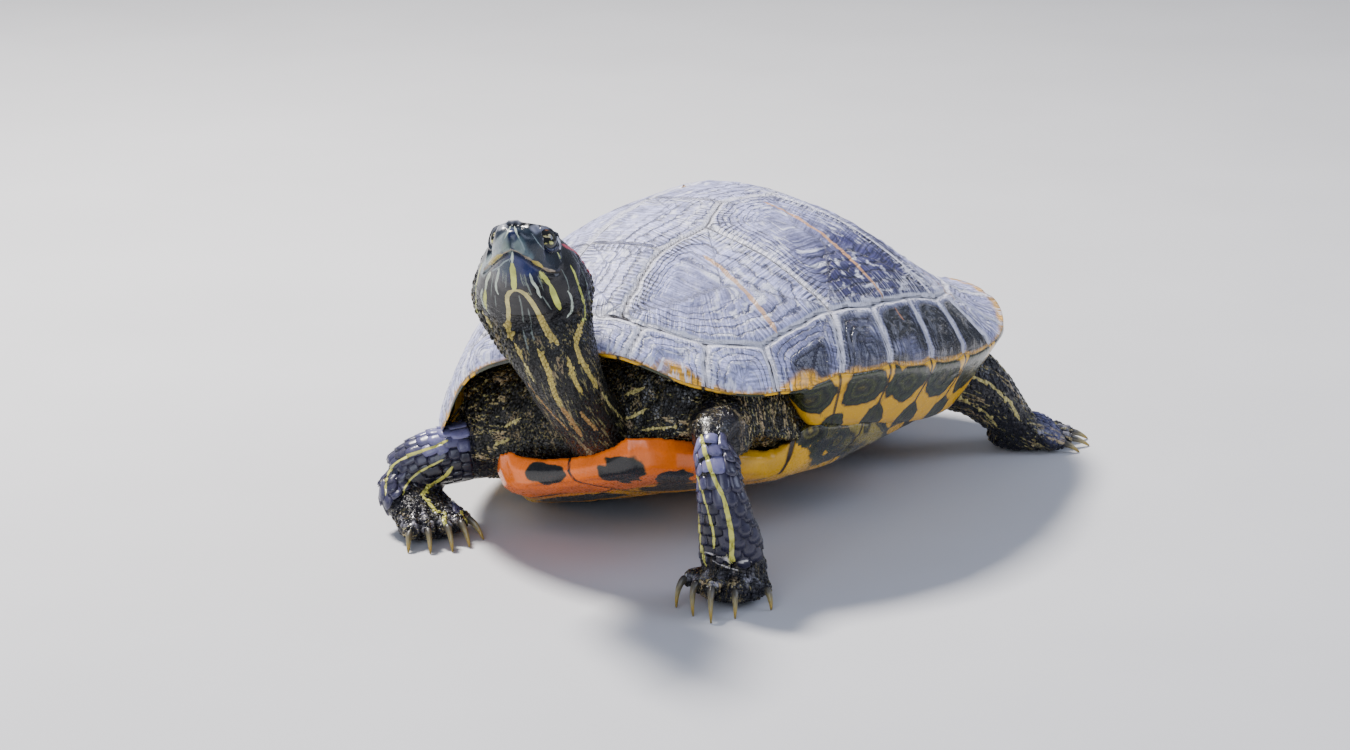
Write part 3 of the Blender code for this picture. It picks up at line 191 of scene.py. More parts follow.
def noise(points, size, seed):
    cells = 48
    lattice = np.random.default_rng(seed).uniform(-1, 1, (cells, cells, cells))
    place = np.asarray(points, float) / size
    whole = np.floor(place).astype(int)
    part = place - whole
    part = part * part * (3 - 2 * part)
    total = np.zeros(len(place))
    for corner in range(8):
        step = np.array([(corner >> axis) & 1 for axis in range(3)])
        index = (whole + step) % cells
        weight = np.prod(np.where(step == 1, part, 1 - part), axis=1)
        total += weight * lattice[index[:, 0], index[:, 1], index[:, 2]]
    return total


def pathDistance(points, path):
    # distance from points to a line of straight runs, and the length along it of the nearest place
    path = np.asarray(path, float)
    best = np.full(len(points), 1e9)
    along = np.zeros(len(points))
    start = 0.0
    for a, b in zip(path, path[1:]):
        run = b - a
        length = max(np.linalg.norm(run), 1e-6)
        t = np.clip((points - a) @ run / length**2, 0, 1)
        away = lengthsOf(points - (a + t[:, None] * run))
        nearer = away < best
        best[nearer] = away[nearer]
        along[nearer] = start + t[nearer] * length
        start += length
    return best, along


def smoothPath(path, steps=4):
    # a Catmull-Rom curve through a few points
    path = np.asarray(path, float)
    ends = np.vstack([2 * path[0] - path[1], path, 2 * path[-1] - path[-2]])
    made = []
    for i in range(len(path) - 1):
        a, b, c, d = ends[i : i + 4]
        for t in np.linspace(0, 1, steps, endpoint=False):
            curve = (c - a) + t * ((2 * a - 5 * b + 4 * c - d) + t * (3 * (b - c) + d - a))
            made.append(b + 0.5 * t * curve)
    made.append(path[-1])
    return np.array(made)


# Mesh helpers


def deselectAll():
    for thing in bpy.context.selected_objects:
        thing.select_set(False)


def choose(piece):
    deselectAll()
    piece.select_set(True)
    bpy.context.view_layer.objects.active = piece


def applyModifier(piece, kind, **settings):
    choose(piece)
    modifier = piece.modifiers.new(kind.title(), kind)
    for key, value in settings.items():
        setattr(modifier, key, value)
    bpy.ops.object.modifier_apply(modifier=modifier.name)


def newPiece(name, points, faces):
    mesh = bpy.data.meshes.new(name)
    mesh.from_pydata((np.asarray(points) * mm).tolist(), [], faces)
    piece = bpy.data.objects.new(name, mesh)
    bpy.context.scene.collection.objects.link(piece)
    return piece


def mergedCopy(node, name):
    # a CAD node's loose triangles, copied and merged
    mesh = frame["nodes"][node].data.copy()
    mesh.materials.clear()
    piece = bpy.data.objects.new(name, mesh)
    bpy.context.scene.collection.objects.link(piece)
    shape = bmesh.new()
    shape.from_mesh(mesh)
    bmesh.ops.remove_doubles(shape, verts=shape.verts, dist=0.000005)
    shape.to_mesh(mesh)
    shape.free()
    return piece


def readPoints(piece):
    values = np.empty(len(piece.data.vertices) * 3)
    piece.data.vertices.foreach_get("co", values)
    return values.reshape(-1, 3) / mm


def readNormals(piece):
    values = np.empty(len(piece.data.vertices) * 3)
    piece.data.vertex_normals.foreach_get("vector", values)
    return values.reshape(-1, 3)


def writePoints(piece, points):
    piece.data.vertices.foreach_set("co", (points * mm).ravel())
    piece.data.update()


def writeValue(piece, name, values):
    attribute = piece.data.attributes.new(name, "FLOAT", "POINT")
    attribute.data.foreach_set("value", np.asarray(values, np.float32))


def writeColour(piece, name, colours):
    attribute = piece.data.attributes.new(name, "FLOAT_COLOR", "POINT")
    full = np.ones((len(colours), 4), np.float32)
    full[:, :3] = colours
    attribute.data.foreach_set("color", full.ravel())


def readEdges(piece):
    edges = np.empty(len(piece.data.edges) * 2, np.int64)
    piece.data.edges.foreach_get("vertices", edges)
    return edges.reshape(-1, 2).T


def neighbourMean(points, a, b):
    # the middle of each point's neighbours over the edges from a to b, and how many there are
    size = len(points)
    count = np.bincount(a, minlength=size) + np.bincount(b, minlength=size)
    total = [np.bincount(a, points[b, k], size) + np.bincount(b, points[a, k], size) for k in range(3)]
    return np.array(total).T / np.maximum(count, 1)[:, None], count


def relax(piece, rounds, amount):
    # moves points towards their neighbours and part of the way back, so that facets go but the size stays
    points = readPoints(piece)
    a, b = readEdges(piece)
    for i in range(rounds * 2):
        step = 0.6 if i % 2 == 0 else -0.61
        points += (neighbourMean(points, a, b)[0] - points) * step * amount[:, None]
    writePoints(piece, points)


def finishPiece(piece, slot, *nodes):
    piece.data.shade_smooth()
    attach(piece, "root")
    if nodes:
        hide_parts(*nodes)


# Material helpers


def colour(code):
    # sRGB hex to linear
    parts = [int(code[i : i + 2], 16) / 255 for i in (1, 3, 5)]
    return tuple(c / 12.92 if c <= 0.04045 else ((c + 0.055) / 1.055) ** 2.4 for c in parts)


def laidOver(base, code, part):
    # a colour over the base, by each point's part
    return base * (1 - part[:, None]) + np.array(colour(code)) * part[:, None]


def newMaterial(name):
    # a material, its shader, what adds nodes to it, and the place on the piece that its patterns read
    material = bpy.data.materials.new(name)
    material.use_nodes = True
    add = partial(addNode, material)
    return material, material.node_tree.nodes["Principled BSDF"], add, add("TexCoord").outputs["Object"]


def connect(node, links):
    # fills a node's sockets, by name or in their order, from nodes, sockets, colours' codes and numbers
    for socket, source in (links if isinstance(links, dict) else dict(enumerate(links))).items():
        if isinstance(source, bpy.types.Node):
            source = next(output for output in source.outputs if output.enabled)
        if isinstance(source, bpy.types.NodeSocket):
            node.id_data.links.new(source, node.inputs[socket])
        elif isinstance(source, str):
            node.inputs[socket].default_value = (*colour(source), 1.0)
        else:
            node.inputs[socket].default_value = source


def addNode(material, kind, links=(), **settings):
    node = material.node_tree.nodes.new("ShaderNode" + kind)
    for key, value in settings.items():
        setattr(node, key, value)
    connect(node, links)
    return node


eased = {"interpolation_type": "SMOOTHSTEP"}  # for a Map Range with soft ends


def fillRamp(node, stops):
    ramp = node.color_ramp
    while len(ramp.elements) < len(stops):
        ramp.elements.new(0.5)
    for element, (place, code) in zip(ramp.elements, stops):
        element.position = place
        element.color = (*colour(code), 1.0)


# Marks: stripes that follow paths over a surface. A point keeps its signed distance from the nearest stripe's middle,
# so that an edge drawn by the material stays sharp between points


def markFields(points, normals, marks):
    count = len(points)
    fields = {"offset": np.full(count, 9.0), "reach": np.full(count, 9.0), "width": np.ones(count)}
    colours = np.ones((count, 3))
    best = np.full(count, 1e9)
    for width, code, path in marks:
        path = np.asarray(path, float)
        low, high = path.min(axis=0) - 5.0, path.max(axis=0) + 5.0
        near = np.nonzero(np.all((points > low) & (points < high), axis=1))[0]
        if not len(near):
            continue
        place, square = points[near], normals[near]
        away = np.full(len(near), 1e9)
        side = np.zeros(len(near))
        along = np.zeros(len(near))
        start = 0.0
        for a, b in zip(path, path[1:]):
            run = b - a
            length = max(np.linalg.norm(run), 1e-6)
            t = np.clip((place - a) @ run / length**2, 0, 1)
            gap = place - (a + t[:, None] * run)
            distance = lengthsOf(gap)
            closer = distance < away
            away[closer] = distance[closer]
            leftwards = np.cross(np.tile(run, (len(near), 1)), square)
            side[closer] = np.sign(np.einsum("ij,ij->i", leftwards, gap))[closer]
            along[closer] = start + t[closer] * length
            start += length
        ends = smooth(np.minimum(along, start - along), -0.1, 2.5)
        local = width * (0.55 + 0.45 * ends)
        better = away - local / 2 < best[near]
        chosen = near[better]
        best[chosen] = (away - local / 2)[better]
        fields["offset"][chosen] = np.clip((side * away)[better], -9, 9)
        fields["reach"][chosen] = np.minimum(away[better], 9)
        fields["width"][chosen] = local[better]
        colours[chosen] = colour(code)
    fields["colour"] = colours
    return fields


def writeMarks(piece, fields, padding=0):
    fill = np.full(padding, 9.0)
    writeValue(piece, "markOffset", np.concatenate([fields["offset"], fill]))
    writeValue(piece, "markReach", np.concatenate([fields["reach"], fill]))
    writeValue(piece, "markWidth", np.concatenate([fields["width"], fill * 0 + 1]))
    writeColour(piece, "markColour", np.concatenate([fields["colour"], np.ones((padding, 3))]))


def markNodes(add, fray, grain):
    # gives the stripes' factor and colour
    place = add("TexCoord")
    names = ("markOffset", "markReach", "markWidth", "markColour")
    offset, reach, width, paint = [add("Attribute", attribute_name=name).outputs for name in names]
    rough = add("TexNoise", {"Vector": place.outputs["Object"], "Scale": grain, "Detail": 3.0})
    centred = add("Math", (rough, 0.5), operation="SUBTRACT")
    frayed = add("Math", (centred, fray), operation="MULTIPLY")
    size = add("Math", (offset["Fac"],), operation="ABSOLUTE")
    edge = add("Math", (size, frayed), operation="ADD")
    half = add("Math", (width["Fac"], 0.5), operation="MULTIPLY")
    inside = add("Math", (half, edge), operation="SUBTRACT")
    sharp = add("MapRange", (inside, -0.07, 0.07, 0.0, 1.0), **eased)
    limit = add("Math", (reach["Fac"], half), operation="SUBTRACT")
    kept = add("MapRange", (limit, 0.25, 0.45, 1.0, 0.0))
    factor = add("Math", (sharp, kept), operation="MULTIPLY")
    return factor.outputs[0], paint["Color"]


# In these node trees a Mix takes its factor at 0, its numbers at 2 and 3 and its colours at 6 and 7, and a Map Range
# takes its value first and then its two ranges


# Carapace: the domed upper shell, with its plates, growth rings, seams and turned-under margin
carapaceLook = {
    "length": 240.0,
    "width": 183.0,
    "domeHeight": 74.6,
    "widestY": 4.0,
    "outlinePowers": (2.36, 2.6),  # front, rear
    "outerPowers": (2.53, 1.81, 2.25),  # front, sides, rear
    "innerPowers": (0.85, 0.56, 2.31),
    "keel": 1.0,
    "thickness": 6.0,
    "rimThickness": 2.2,
    "plateRaise": 1.1,
    "seamWidth": 1.9,
    "rimSteps": 352,  # each side
    "domeSteps": 112,
    "bridge": (-64.0, 48.0),
    "undersideShare": 0.82,
    "marginSeams": [31.7, 58.1, 84.5, 110.9, 137.3, 163.7, 190.0, 217.0, 247.0, 278.0, 311.0],
    "rimHeights": [37.0, 32.0, 15.5, 7.1, 6.6, 3.4, -1.5, -4.7, -5.0, -1.7, 6.3, 13.0, 14.6],
    # inner ends of the margin's seams: distance along the rim and up the dome
    "seamHeads": [
        (4.0, 14.0), (40.0, 15.5), (61.5, 17.6), (83.0, 17.3), (118.0, 24.0), (139.5, 23.3), (166.0, 26.0),
        (188.0, 24.0), (205.0, 25.0), (226.0, 25.5), (262.0, 25.0), (303.0, 22.0), (346.8, 19.0),
    ],
    "underside": [(0.5, -2.2), (8.0, -10.5), (18.0, -19.9), (23.0, -15.5), (17.5, -4.0)],
    "freeUnderside": [0.5, 5.5, 12.0, 18.5, 22.0],
    "innerShares": [(0.74, 0.84), (0.42, 0.5)],
    "vertebralSeams": [-69.2, -23.1, 25.0, 63.0],
    "vertebralCorners": [27.6, 28.2, 26.4, 19.5],
    "vertebralSides": [(33.3, -45.8), (34.0, 1.2), (31.0, 45.0)],
    "firstVertebralFront": (32.0, 16.5),
    "firstVertebralWaist": (28.4, -87.4),
    "lastVertebralHead": (318.0, 21.0),
    "cervical": 4.5,
    "dark": "#363660",
    # pale: bleached horn with painted sky sheen
    "pale": "#a6a9d4",
    "wet": "#12131d",
    "gold": "#e2a416",
    "cream": "#dfae62",
    "yellow": "#e2a90c",
}
look = carapaceLook


def outlinePoint(phi):
    c, s = cos(phi), sin(phi)
    half = look["length"] / 2
    reach = half + look["widestY"] if c > 0 else half - look["widestY"]
    power = look["outlinePowers"][0 if c > 0 else 1]
    x = look["width"] / 2 * abs(s) ** (2 / power)
    return x, look["widestY"] - reach * np.sign(c) * abs(c) ** (2 / power)


outline = np.array([outlinePoint(phi) for phi in np.linspace(0, pi, 1441)])
outlineAngle = np.arctan2(outline[:, 0], -outline[:, 1])
outlineArc = np.concatenate([[0], np.cumsum(np.hypot(*np.diff(outline, axis=0).T))])
halfRim = outlineArc[-1]
rimArcs = np.array([0.0, *look["marginSeams"], halfRim])
rimHeights = np.array(look["rimHeights"])
rimSlopes = np.gradient(rimHeights, rimArcs)
rimSlopes[0] = rimSlopes[-1] = 0.0


def rimHeight(arc):
    i = np.clip(np.searchsorted(rimArcs, arc) - 1, 0, len(rimArcs) - 2)
    step = rimArcs[i + 1] - rimArcs[i]
    t = (arc - rimArcs[i]) / step
    ahead = t**2 * (3 - 2 * t)
    bend = step * (rimSlopes[i] * t * (1 - t) ** 2 - rimSlopes[i + 1] * t**2 * (1 - t))
    return rimHeights[i] * (1 - ahead) + rimHeights[i + 1] * ahead + bend


def rimBeyond(x, y):
    angle = np.arctan2(np.abs(x), -y)
    radius = np.hypot(np.interp(angle, outlineAngle, outline[:, 0]), np.interp(angle, outlineAngle, outline[:, 1]))
    return angle, radius, np.interp(angle, outlineAngle, outlineArc)


def aroundShell(angle, values):
    front, side, rear = values
    weight = np.sin(angle) ** 2
    return side * weight + np.where(angle < pi / 2, front, rear) * (1 - weight)


def domeHeight(x, y):
    angle, radius, arc = rimBeyond(x, y)
    share = np.minimum(np.hypot(x, y) / radius, 1.0)
    rim = rimHeight(arc)
    top = look["domeHeight"] - look["plateRaise"]
    arch = (1 - share ** aroundShell(angle, look["outerPowers"])) ** aroundShell(angle, look["innerPowers"])
    return rim + (top - rim) * arch + look["keel"] * bell(x, 5.0) * (1 - share**4)


# Lengths over the dome from its top, for directions round it and shares of the way to the rim
meridianAngles = np.linspace(0, pi, 181)
meridianShares = np.linspace(0, 1, 241)
meridianRadius = rimBeyond(np.sin(meridianAngles), -np.cos(meridianAngles))[1]
meridianX = np.outer(meridianRadius * np.sin(meridianAngles), meridianShares)
meridianY = np.outer(-meridianRadius * np.cos(meridianAngles), meridianShares)
meridianSteps = np.hypot(
    np.diff(domeHeight(meridianX, meridianY), axis=1), np.outer(meridianRadius, np.diff(meridianShares))
)
meridians = np.concatenate([np.zeros((len(meridianAngles), 1)), np.cumsum(meridianSteps, axis=1)], axis=1)


def meridianLength(angle, share):
    i = np.clip(angle / pi * (len(meridianAngles) - 1), 0, len(meridianAngles) - 1.001)
    j = np.clip(share * (len(meridianShares) - 1), 0, len(meridianShares) - 1.001)
    i0, j0 = i.astype(int), j.astype(int)
    a, b = i - i0, j - j0
    low = meridians[i0, j0] * (1 - b) + meridians[i0, j0 + 1] * b
    high = meridians[i0 + 1, j0] * (1 - b) + meridians[i0 + 1, j0 + 1] * b
    return low * (1 - a) + high * a


def unroll(x, y):
    # flattens plan points so that lengths from the top are those over the dome; the right side folds on to the left
    x, y = np.atleast_1d(np.abs(x)).astype(float), np.atleast_1d(y).astype(float)
    angle, radius, _ = rimBeyond(x, y)
    length = meridianLength(angle, np.hypot(x, y) / radius)
    return np.stack([length * np.sin(angle), -length * np.cos(angle)], axis=-1)


def unrolledRim(arc, depth):
    x, y = np.interp(arc, outlineArc, outline[:, 0]), np.interp(arc, outlineArc, outline[:, 1])
    flat = unroll(x, y)[0]
    length = np.linalg.norm(flat)
    return flat * (length - depth) / length


def shellScutes():
    # corners of the left side's scutes on the flattened dome, how many of their last sides are no seams,
    # and the place of each one's oldest part
    heads = [unrolledRim(*head) for head in look["seamHeads"]]
    sides = [unroll(*place)[0] for place in look["vertebralSides"]]
    corners = [unroll(x, y)[0] for x, y in zip(look["vertebralCorners"], look["vertebralSeams"])]
    front = unrolledRim(*look["firstVertebralFront"])
    rear = unrolledRim(*look["lastVertebralHead"])
    waist = unroll(*look["firstVertebralWaist"])[0]
    tail = np.array([6.0, heads[-1][1] - 0.5])
    halves = [
        [heads[0], front, waist, corners[0]],
        [corners[0], sides[0], corners[1]],
        [corners[1], sides[1], corners[2]],
        [corners[2], sides[2], corners[3]],
        [corners[3], rear, tail],
    ]
    scutes = []
    for half in halves:
        middle = np.array([0.0, half[0][1] * 0.35 + half[-1][1] * 0.65])
        scutes.append(([*half, (0.0, half[-1][1]), (0.0, half[0][1])], 1, middle, "vertebral"))
    costals = [
        [front, *heads[1:5], sides[0], corners[0], waist],
        [sides[0], *heads[4:8], sides[1], corners[1]],
        [sides[1], *heads[7:10], sides[2], corners[2]],
        [sides[2], *heads[9:12], rear, corners[3]],
    ]
    for costal in costals:
        middle = np.mean(costal, axis=0)
        top = (costal[0] + costal[-1]) / 2
        scutes.append((costal, 0, middle * 0.55 + top * 0.45, "costal"))
    arcs = [look["cervical"], *look["marginSeams"], halfRim]
    for i in range(12):
        beyond = [unrolledRim(arcs[i + 1], -8.0), unrolledRim(arcs[i], -8.0)]
        middle = unrolledRim((arcs[i] + arcs[i + 1]) / 2 + 3.0, 3.0)
        scutes.append(([beyond[1], heads[i], heads[i + 1], beyond[0]], 1, middle, "marginal"))
    beyond = unrolledRim(look["cervical"], -8.0)
    scutes.append(([(0.0, heads[0][1]), heads[0], beyond, (0.0, beyond[1])], 2, np.array([0.0, -118.0]), "cervical"))
    return scutes


def scuteFields(flat):
    # for each flattened point: its scute, the distance to the scute's edge, the length along the nearest seam,
    # and how far out it lies between the oldest part and the edge
    best = np.full(len(flat), -1e9)
    fields = {key: np.zeros(len(flat)) for key in ("scute", "along", "ring", "size", "side")}
    for number, (corners, loose, oldest, _) in enumerate(shellScutes()):
        corners = np.array(corners)
        count = len(corners)
        inside = np.zeros(len(flat), bool)
        nearest = np.full(len(flat), 1e9)
        along = np.zeros(len(flat))
        reach = np.zeros(len(flat))
        nearSide = np.zeros(len(flat))
        travelled = 0.0
        for i in range(count):
            a, b = corners[i], corners[(i + 1) % count]
            run = b - a
            length = np.linalg.norm(run)
            crosses = (a[1] > flat[:, 1]) != (b[1] > flat[:, 1])
            level = np.where(abs(b[1] - a[1]) < 1e-9, 1e-9, b[1] - a[1])
            inside ^= crosses & (flat[:, 0] < a[0] + (flat[:, 1] - a[1]) * (b[0] - a[0]) / level)
            if i >= count - loose:
                continue
            t = np.clip((flat - a) @ run / length**2, 0, 1)
            away = lengthsOf(flat - (a + t[:, None] * run))
            closer = away < nearest
            nearest[closer] = away[closer]
            along[closer] = travelled + t[closer] * length
            nearSide[closer] = i
            travelled += length
            normal = np.array([run[1], -run[0]]) / length
            depth = (a - oldest) @ normal
            depth = max(abs(depth), 2.0) * (1 if depth >= 0 else -1)
            reach += np.clip((flat - oldest) @ normal / depth, 0, 4) ** 9
        signed = np.where(inside, nearest, -nearest)
        better = signed > best
        best[better] = signed[better]
        size = np.mean([np.linalg.norm(c - oldest) for c in corners[: count - loose]])
        values = {"scute": number, "along": along, "ring": reach ** (1 / 9), "size": size, "side": nearSide}
        for key, value in values.items():
            fields[key][better] = value[better] if isinstance(value, np.ndarray) else value
    fields["seam"] = np.abs(best)
    return fields


def serration(arc):
    seams = np.array([look["cervical"], *look["marginSeams"], halfRim])
    nearest = np.min(np.abs(seams[:, None] - arc), axis=0)
    return (0.12 + 1.6 * np.clip((arc / halfRim - 0.7) / 0.2, 0, 1)) * bell(nearest, 4.0)


def inwards(x, y, distance):
    length = np.hypot(x, y)
    share = (length - distance) / length
    return x * share, y * share


def bridgeWeight(y):
    front, rear = look["bridge"]
    return 1 / (1 + np.exp(-(y - front) / 3.0)) / (1 + np.exp((y - rear) / 3.0))


def buildCarapace():
    steps = look["rimSteps"]
    arcs = halfRim * np.arange(steps + 1) / steps
    arc = np.concatenate([arcs, arcs[-2:0:-1]])
    side = np.concatenate([np.ones(steps + 1), -np.ones(steps - 1)])
    rimX = np.interp(arc, outlineArc, outline[:, 0])
    rimY = np.interp(arc, outlineArc, outline[:, 1])
    angle, radius, _ = rimBeyond(rimX, rimY)
    rows = []
    flats = []
    wholeLengths = meridianLength(angle, np.ones(len(arc)))
    shares = np.linspace(0, 1, look["domeSteps"] + 1)[1:]
    for t in shares:
        lengths = wholeLengths * t
        low, high = np.zeros(len(arc)), np.ones(len(arc))
        for _ in range(14):
            middle = (low + high) / 2
            short = meridianLength(angle, middle) < lengths
            low, high = np.where(short, middle, low), np.where(short, high, middle)
        share = (low + high) / 2
        bite = serration(arc) * smooth(t, 0.9, 1.0)
        x, y = inwards(rimX * share, rimY * share, np.minimum(bite, radius * share * 0.5))
        rows.append(np.stack([x, y, domeHeight(x, y)], axis=-1))
        flats.append(unroll(x, y))
    rim = rows[-1]
    dome = np.concatenate(rows)
    flat = np.concatenate(flats)
    sides = np.tile(side, len(rows))
    # the seams wander a little
    spot = np.stack([flat[:, 0], flat[:, 1], sides * 40], axis=-1)
    drift = np.stack([noise(spot, 6.0, 11), noise(spot, 6.0, 12)], axis=-1) * 0.55
    fields = scuteFields(flat + drift)
    kinds = np.array([kind for *_, kind in shellScutes()])[fields["scute"].astype(int)]
    # relief square to the dome: plates, old crumpled growth in the middle of the side plates, low waves
    step = 0.4
    x, y = dome[:, 0], dome[:, 1]
    slopeX = (domeHeight(x + step, y) - domeHeight(x - step, y)) / (2 * step)
    slopeY = (domeHeight(x, y + step) - domeHeight(x, y - step)) / (2 * step)
    slopeX, slopeY = np.clip(slopeX, -2.5, 2.5), np.clip(slopeY, -2.5, 2.5)
    normal = np.stack([-slopeX, -slopeY, np.ones(len(dome))], axis=-1)
    normal /= lengthsOf(normal)[:, None]
    rimShare = np.repeat(shares, len(arc))
    relief = look["plateRaise"] * smooth(fields["seam"], 0.1, look["seamWidth"])
    old = bell(fields["ring"], 0.62)
    relief += 0.6 * old * noise(spot, 5.5, 21) + 0.25 * noise(spot, 19.0, 22) + 0.16 * noise(spot, 2.8, 26)
    ridges = np.cos(np.clip(fields["ring"], 0, 1) * 13.0 + 0.8 * noise(spot, 6.0, 23))
    relief += np.where(kinds == "marginal", 0.3 * ridges, 0.0)
    waves = np.cos(np.clip(fields["ring"], 0, 1) * fields["size"] * 2 * pi / 3.6 + 1.6 * noise(spot, 8.0, 24))
    relief += np.where(kinds == "costal", 0.2 * waves * bell(fields["ring"] - 0.5, 0.2), 0.0)
    relief *= 1 - smooth(rimShare, 0.965, 1.0)
    dome = dome + normal * relief[:, None]
    dome[:, 0] *= sides
    # under the margin, where it turns down to the plastron, and back up inside the dome
    stations = []
    for (depth, drop), freeDepth in zip(look["underside"], look["freeUnderside"]):
        weight = bridgeWeight(rim[:, 1] * look["undersideShare"])[:, None]
        freeX, freeY = inwards(rim[:, 0], rim[:, 1], freeDepth)
        wall = look["thickness"] - 1.2 - look["rimThickness"]
        wall = look["rimThickness"] + wall * min(1.0, freeDepth / 9.0)
        free = np.stack([freeX, freeY, domeHeight(freeX, freeY) - wall], axis=-1)
        turnedX, turnedY = inwards(rim[:, 0], rim[:, 1], depth)
        turned = np.stack([turnedX, turnedY, rimHeight(arc) + drop], axis=-1)
        stations.append(free * (1 - weight) + turned * weight)
    for freeShare, bridgeShare in look["innerShares"]:
        share = freeShare + (bridgeShare - freeShare) * bridgeWeight(rim[:, 1] * look["undersideShare"])
        x, y = rim[:, 0] * share, rim[:, 1] * share
        stations.append(np.stack([x, y, domeHeight(x, y) - look["thickness"]], axis=-1))
    stations = np.array([rim, *stations])
    under = smoothPath(stations.reshape(len(stations), -1), 4)[1:].reshape(-1, len(arc), 3)
    closeRows = 4 * len(look["underside"]) + 1  # coarser rows inside the dome
    under = np.concatenate([under[:closeRows], under[closeRows::2]])
    underRows = len(under)
    downSteps = np.linalg.norm(np.diff(np.concatenate([rim[None], under]), axis=0), axis=2)
    underDepth = np.cumsum(downSteps, axis=0).ravel()
    under = under.reshape(-1, 3)
    under[:, 0] *= np.tile(side, underRows)
    peak = domeHeight(np.zeros(1), np.zeros(1))[0]
    ends = [[0.0, 0.0, peak + look["plateRaise"]], [0.0, 0.0, peak - look["thickness"]]]
    points = np.concatenate([dome, under, ends])
    count = len(arc)
    total = len(rows) + underRows
    faces = []
    for i in range(count):
        j = (i + 1) % count
        faces.append([len(points) - 2, i, j])
        faces.append([len(points) - 1, (total - 1) * count + j, (total - 1) * count + i])
        faces += [[k * count + i, (k + 1) * count + i, (k + 1) * count + j, k * count + j] for k in range(total - 1)]
    placed = shellToWorld(points)
    placed[:, 2] = np.maximum(placed[:, 2], 0.1)
    piece = newPiece("carapaceShell", placed, faces)
    fields["growth"] = fields["ring"] * fields["size"] / np.where(kinds == "marginal", 3.4, 4.2)
    fields["rungs"] = shellRungs(fields, kinds, dome)
    fields["shown"] = np.clip(fields["ring"], 0, 1.2)
    fields["under"] = np.zeros(len(dome))
    # each attribute with the value that it has below the margin
    written = {"seamDistance": ("seam", 9.0), "seamLength": ("along", 0.0), "growth": ("growth", 0.0)}
    written |= {"growthShare": ("shown", 0.0), "rungs": ("rungs", 0.0), "under": ("under", 1.0)}
    for name, (key, below) in written.items():
        writeValue(piece, name, np.concatenate([fields[key], np.full(len(under) + 2, below)]))
    rimArcs = np.concatenate([np.tile(arc, total), [0, 0]])
    depths = np.concatenate([np.zeros(len(dome)), underDepth, [0, 90]])
    paintCarapace(piece, points, fields, kinds, rimShare, rimArcs, depths)
    print("carapace:", len(points), "points")
    return piece


def shellRungs(fields, kinds, dome):
    # where short steps cross a seam like the rungs of a ladder, and ribs run down to the margin
    number = fields["scute"].astype(int)
    side = fields["side"]
    footSides = {5: (0, 3), 6: (1, 3), 7: (1, 2), 8: (1, 3)}
    foot = np.zeros(len(number), bool)
    for scute, (low, high) in footSides.items():
        foot |= (number == scute) & (side >= low) & (side <= high)
    patchy = smooth(noise(dome, 13.0, 25), -0.55, 0.25)
    strength = np.select([number == 5, number == 6, number == 0, number == 1], [1.0, 0.9, 0.75, 0.6], 0.2)
    strength = np.where(kinds == "marginal", 0.0, strength)
    ladder = strength * (1 - smooth(fields["seam"], 4.5, 8.0)) * (0.35 + 0.65 * patchy)
    ribs = 0.5 * smooth(fields["ring"], 0.62, 0.78) * (0.4 + 0.6 * patchy) * np.where(number <= 6, 1.0, 0.5)
    return np.where(foot, ribs, ladder)


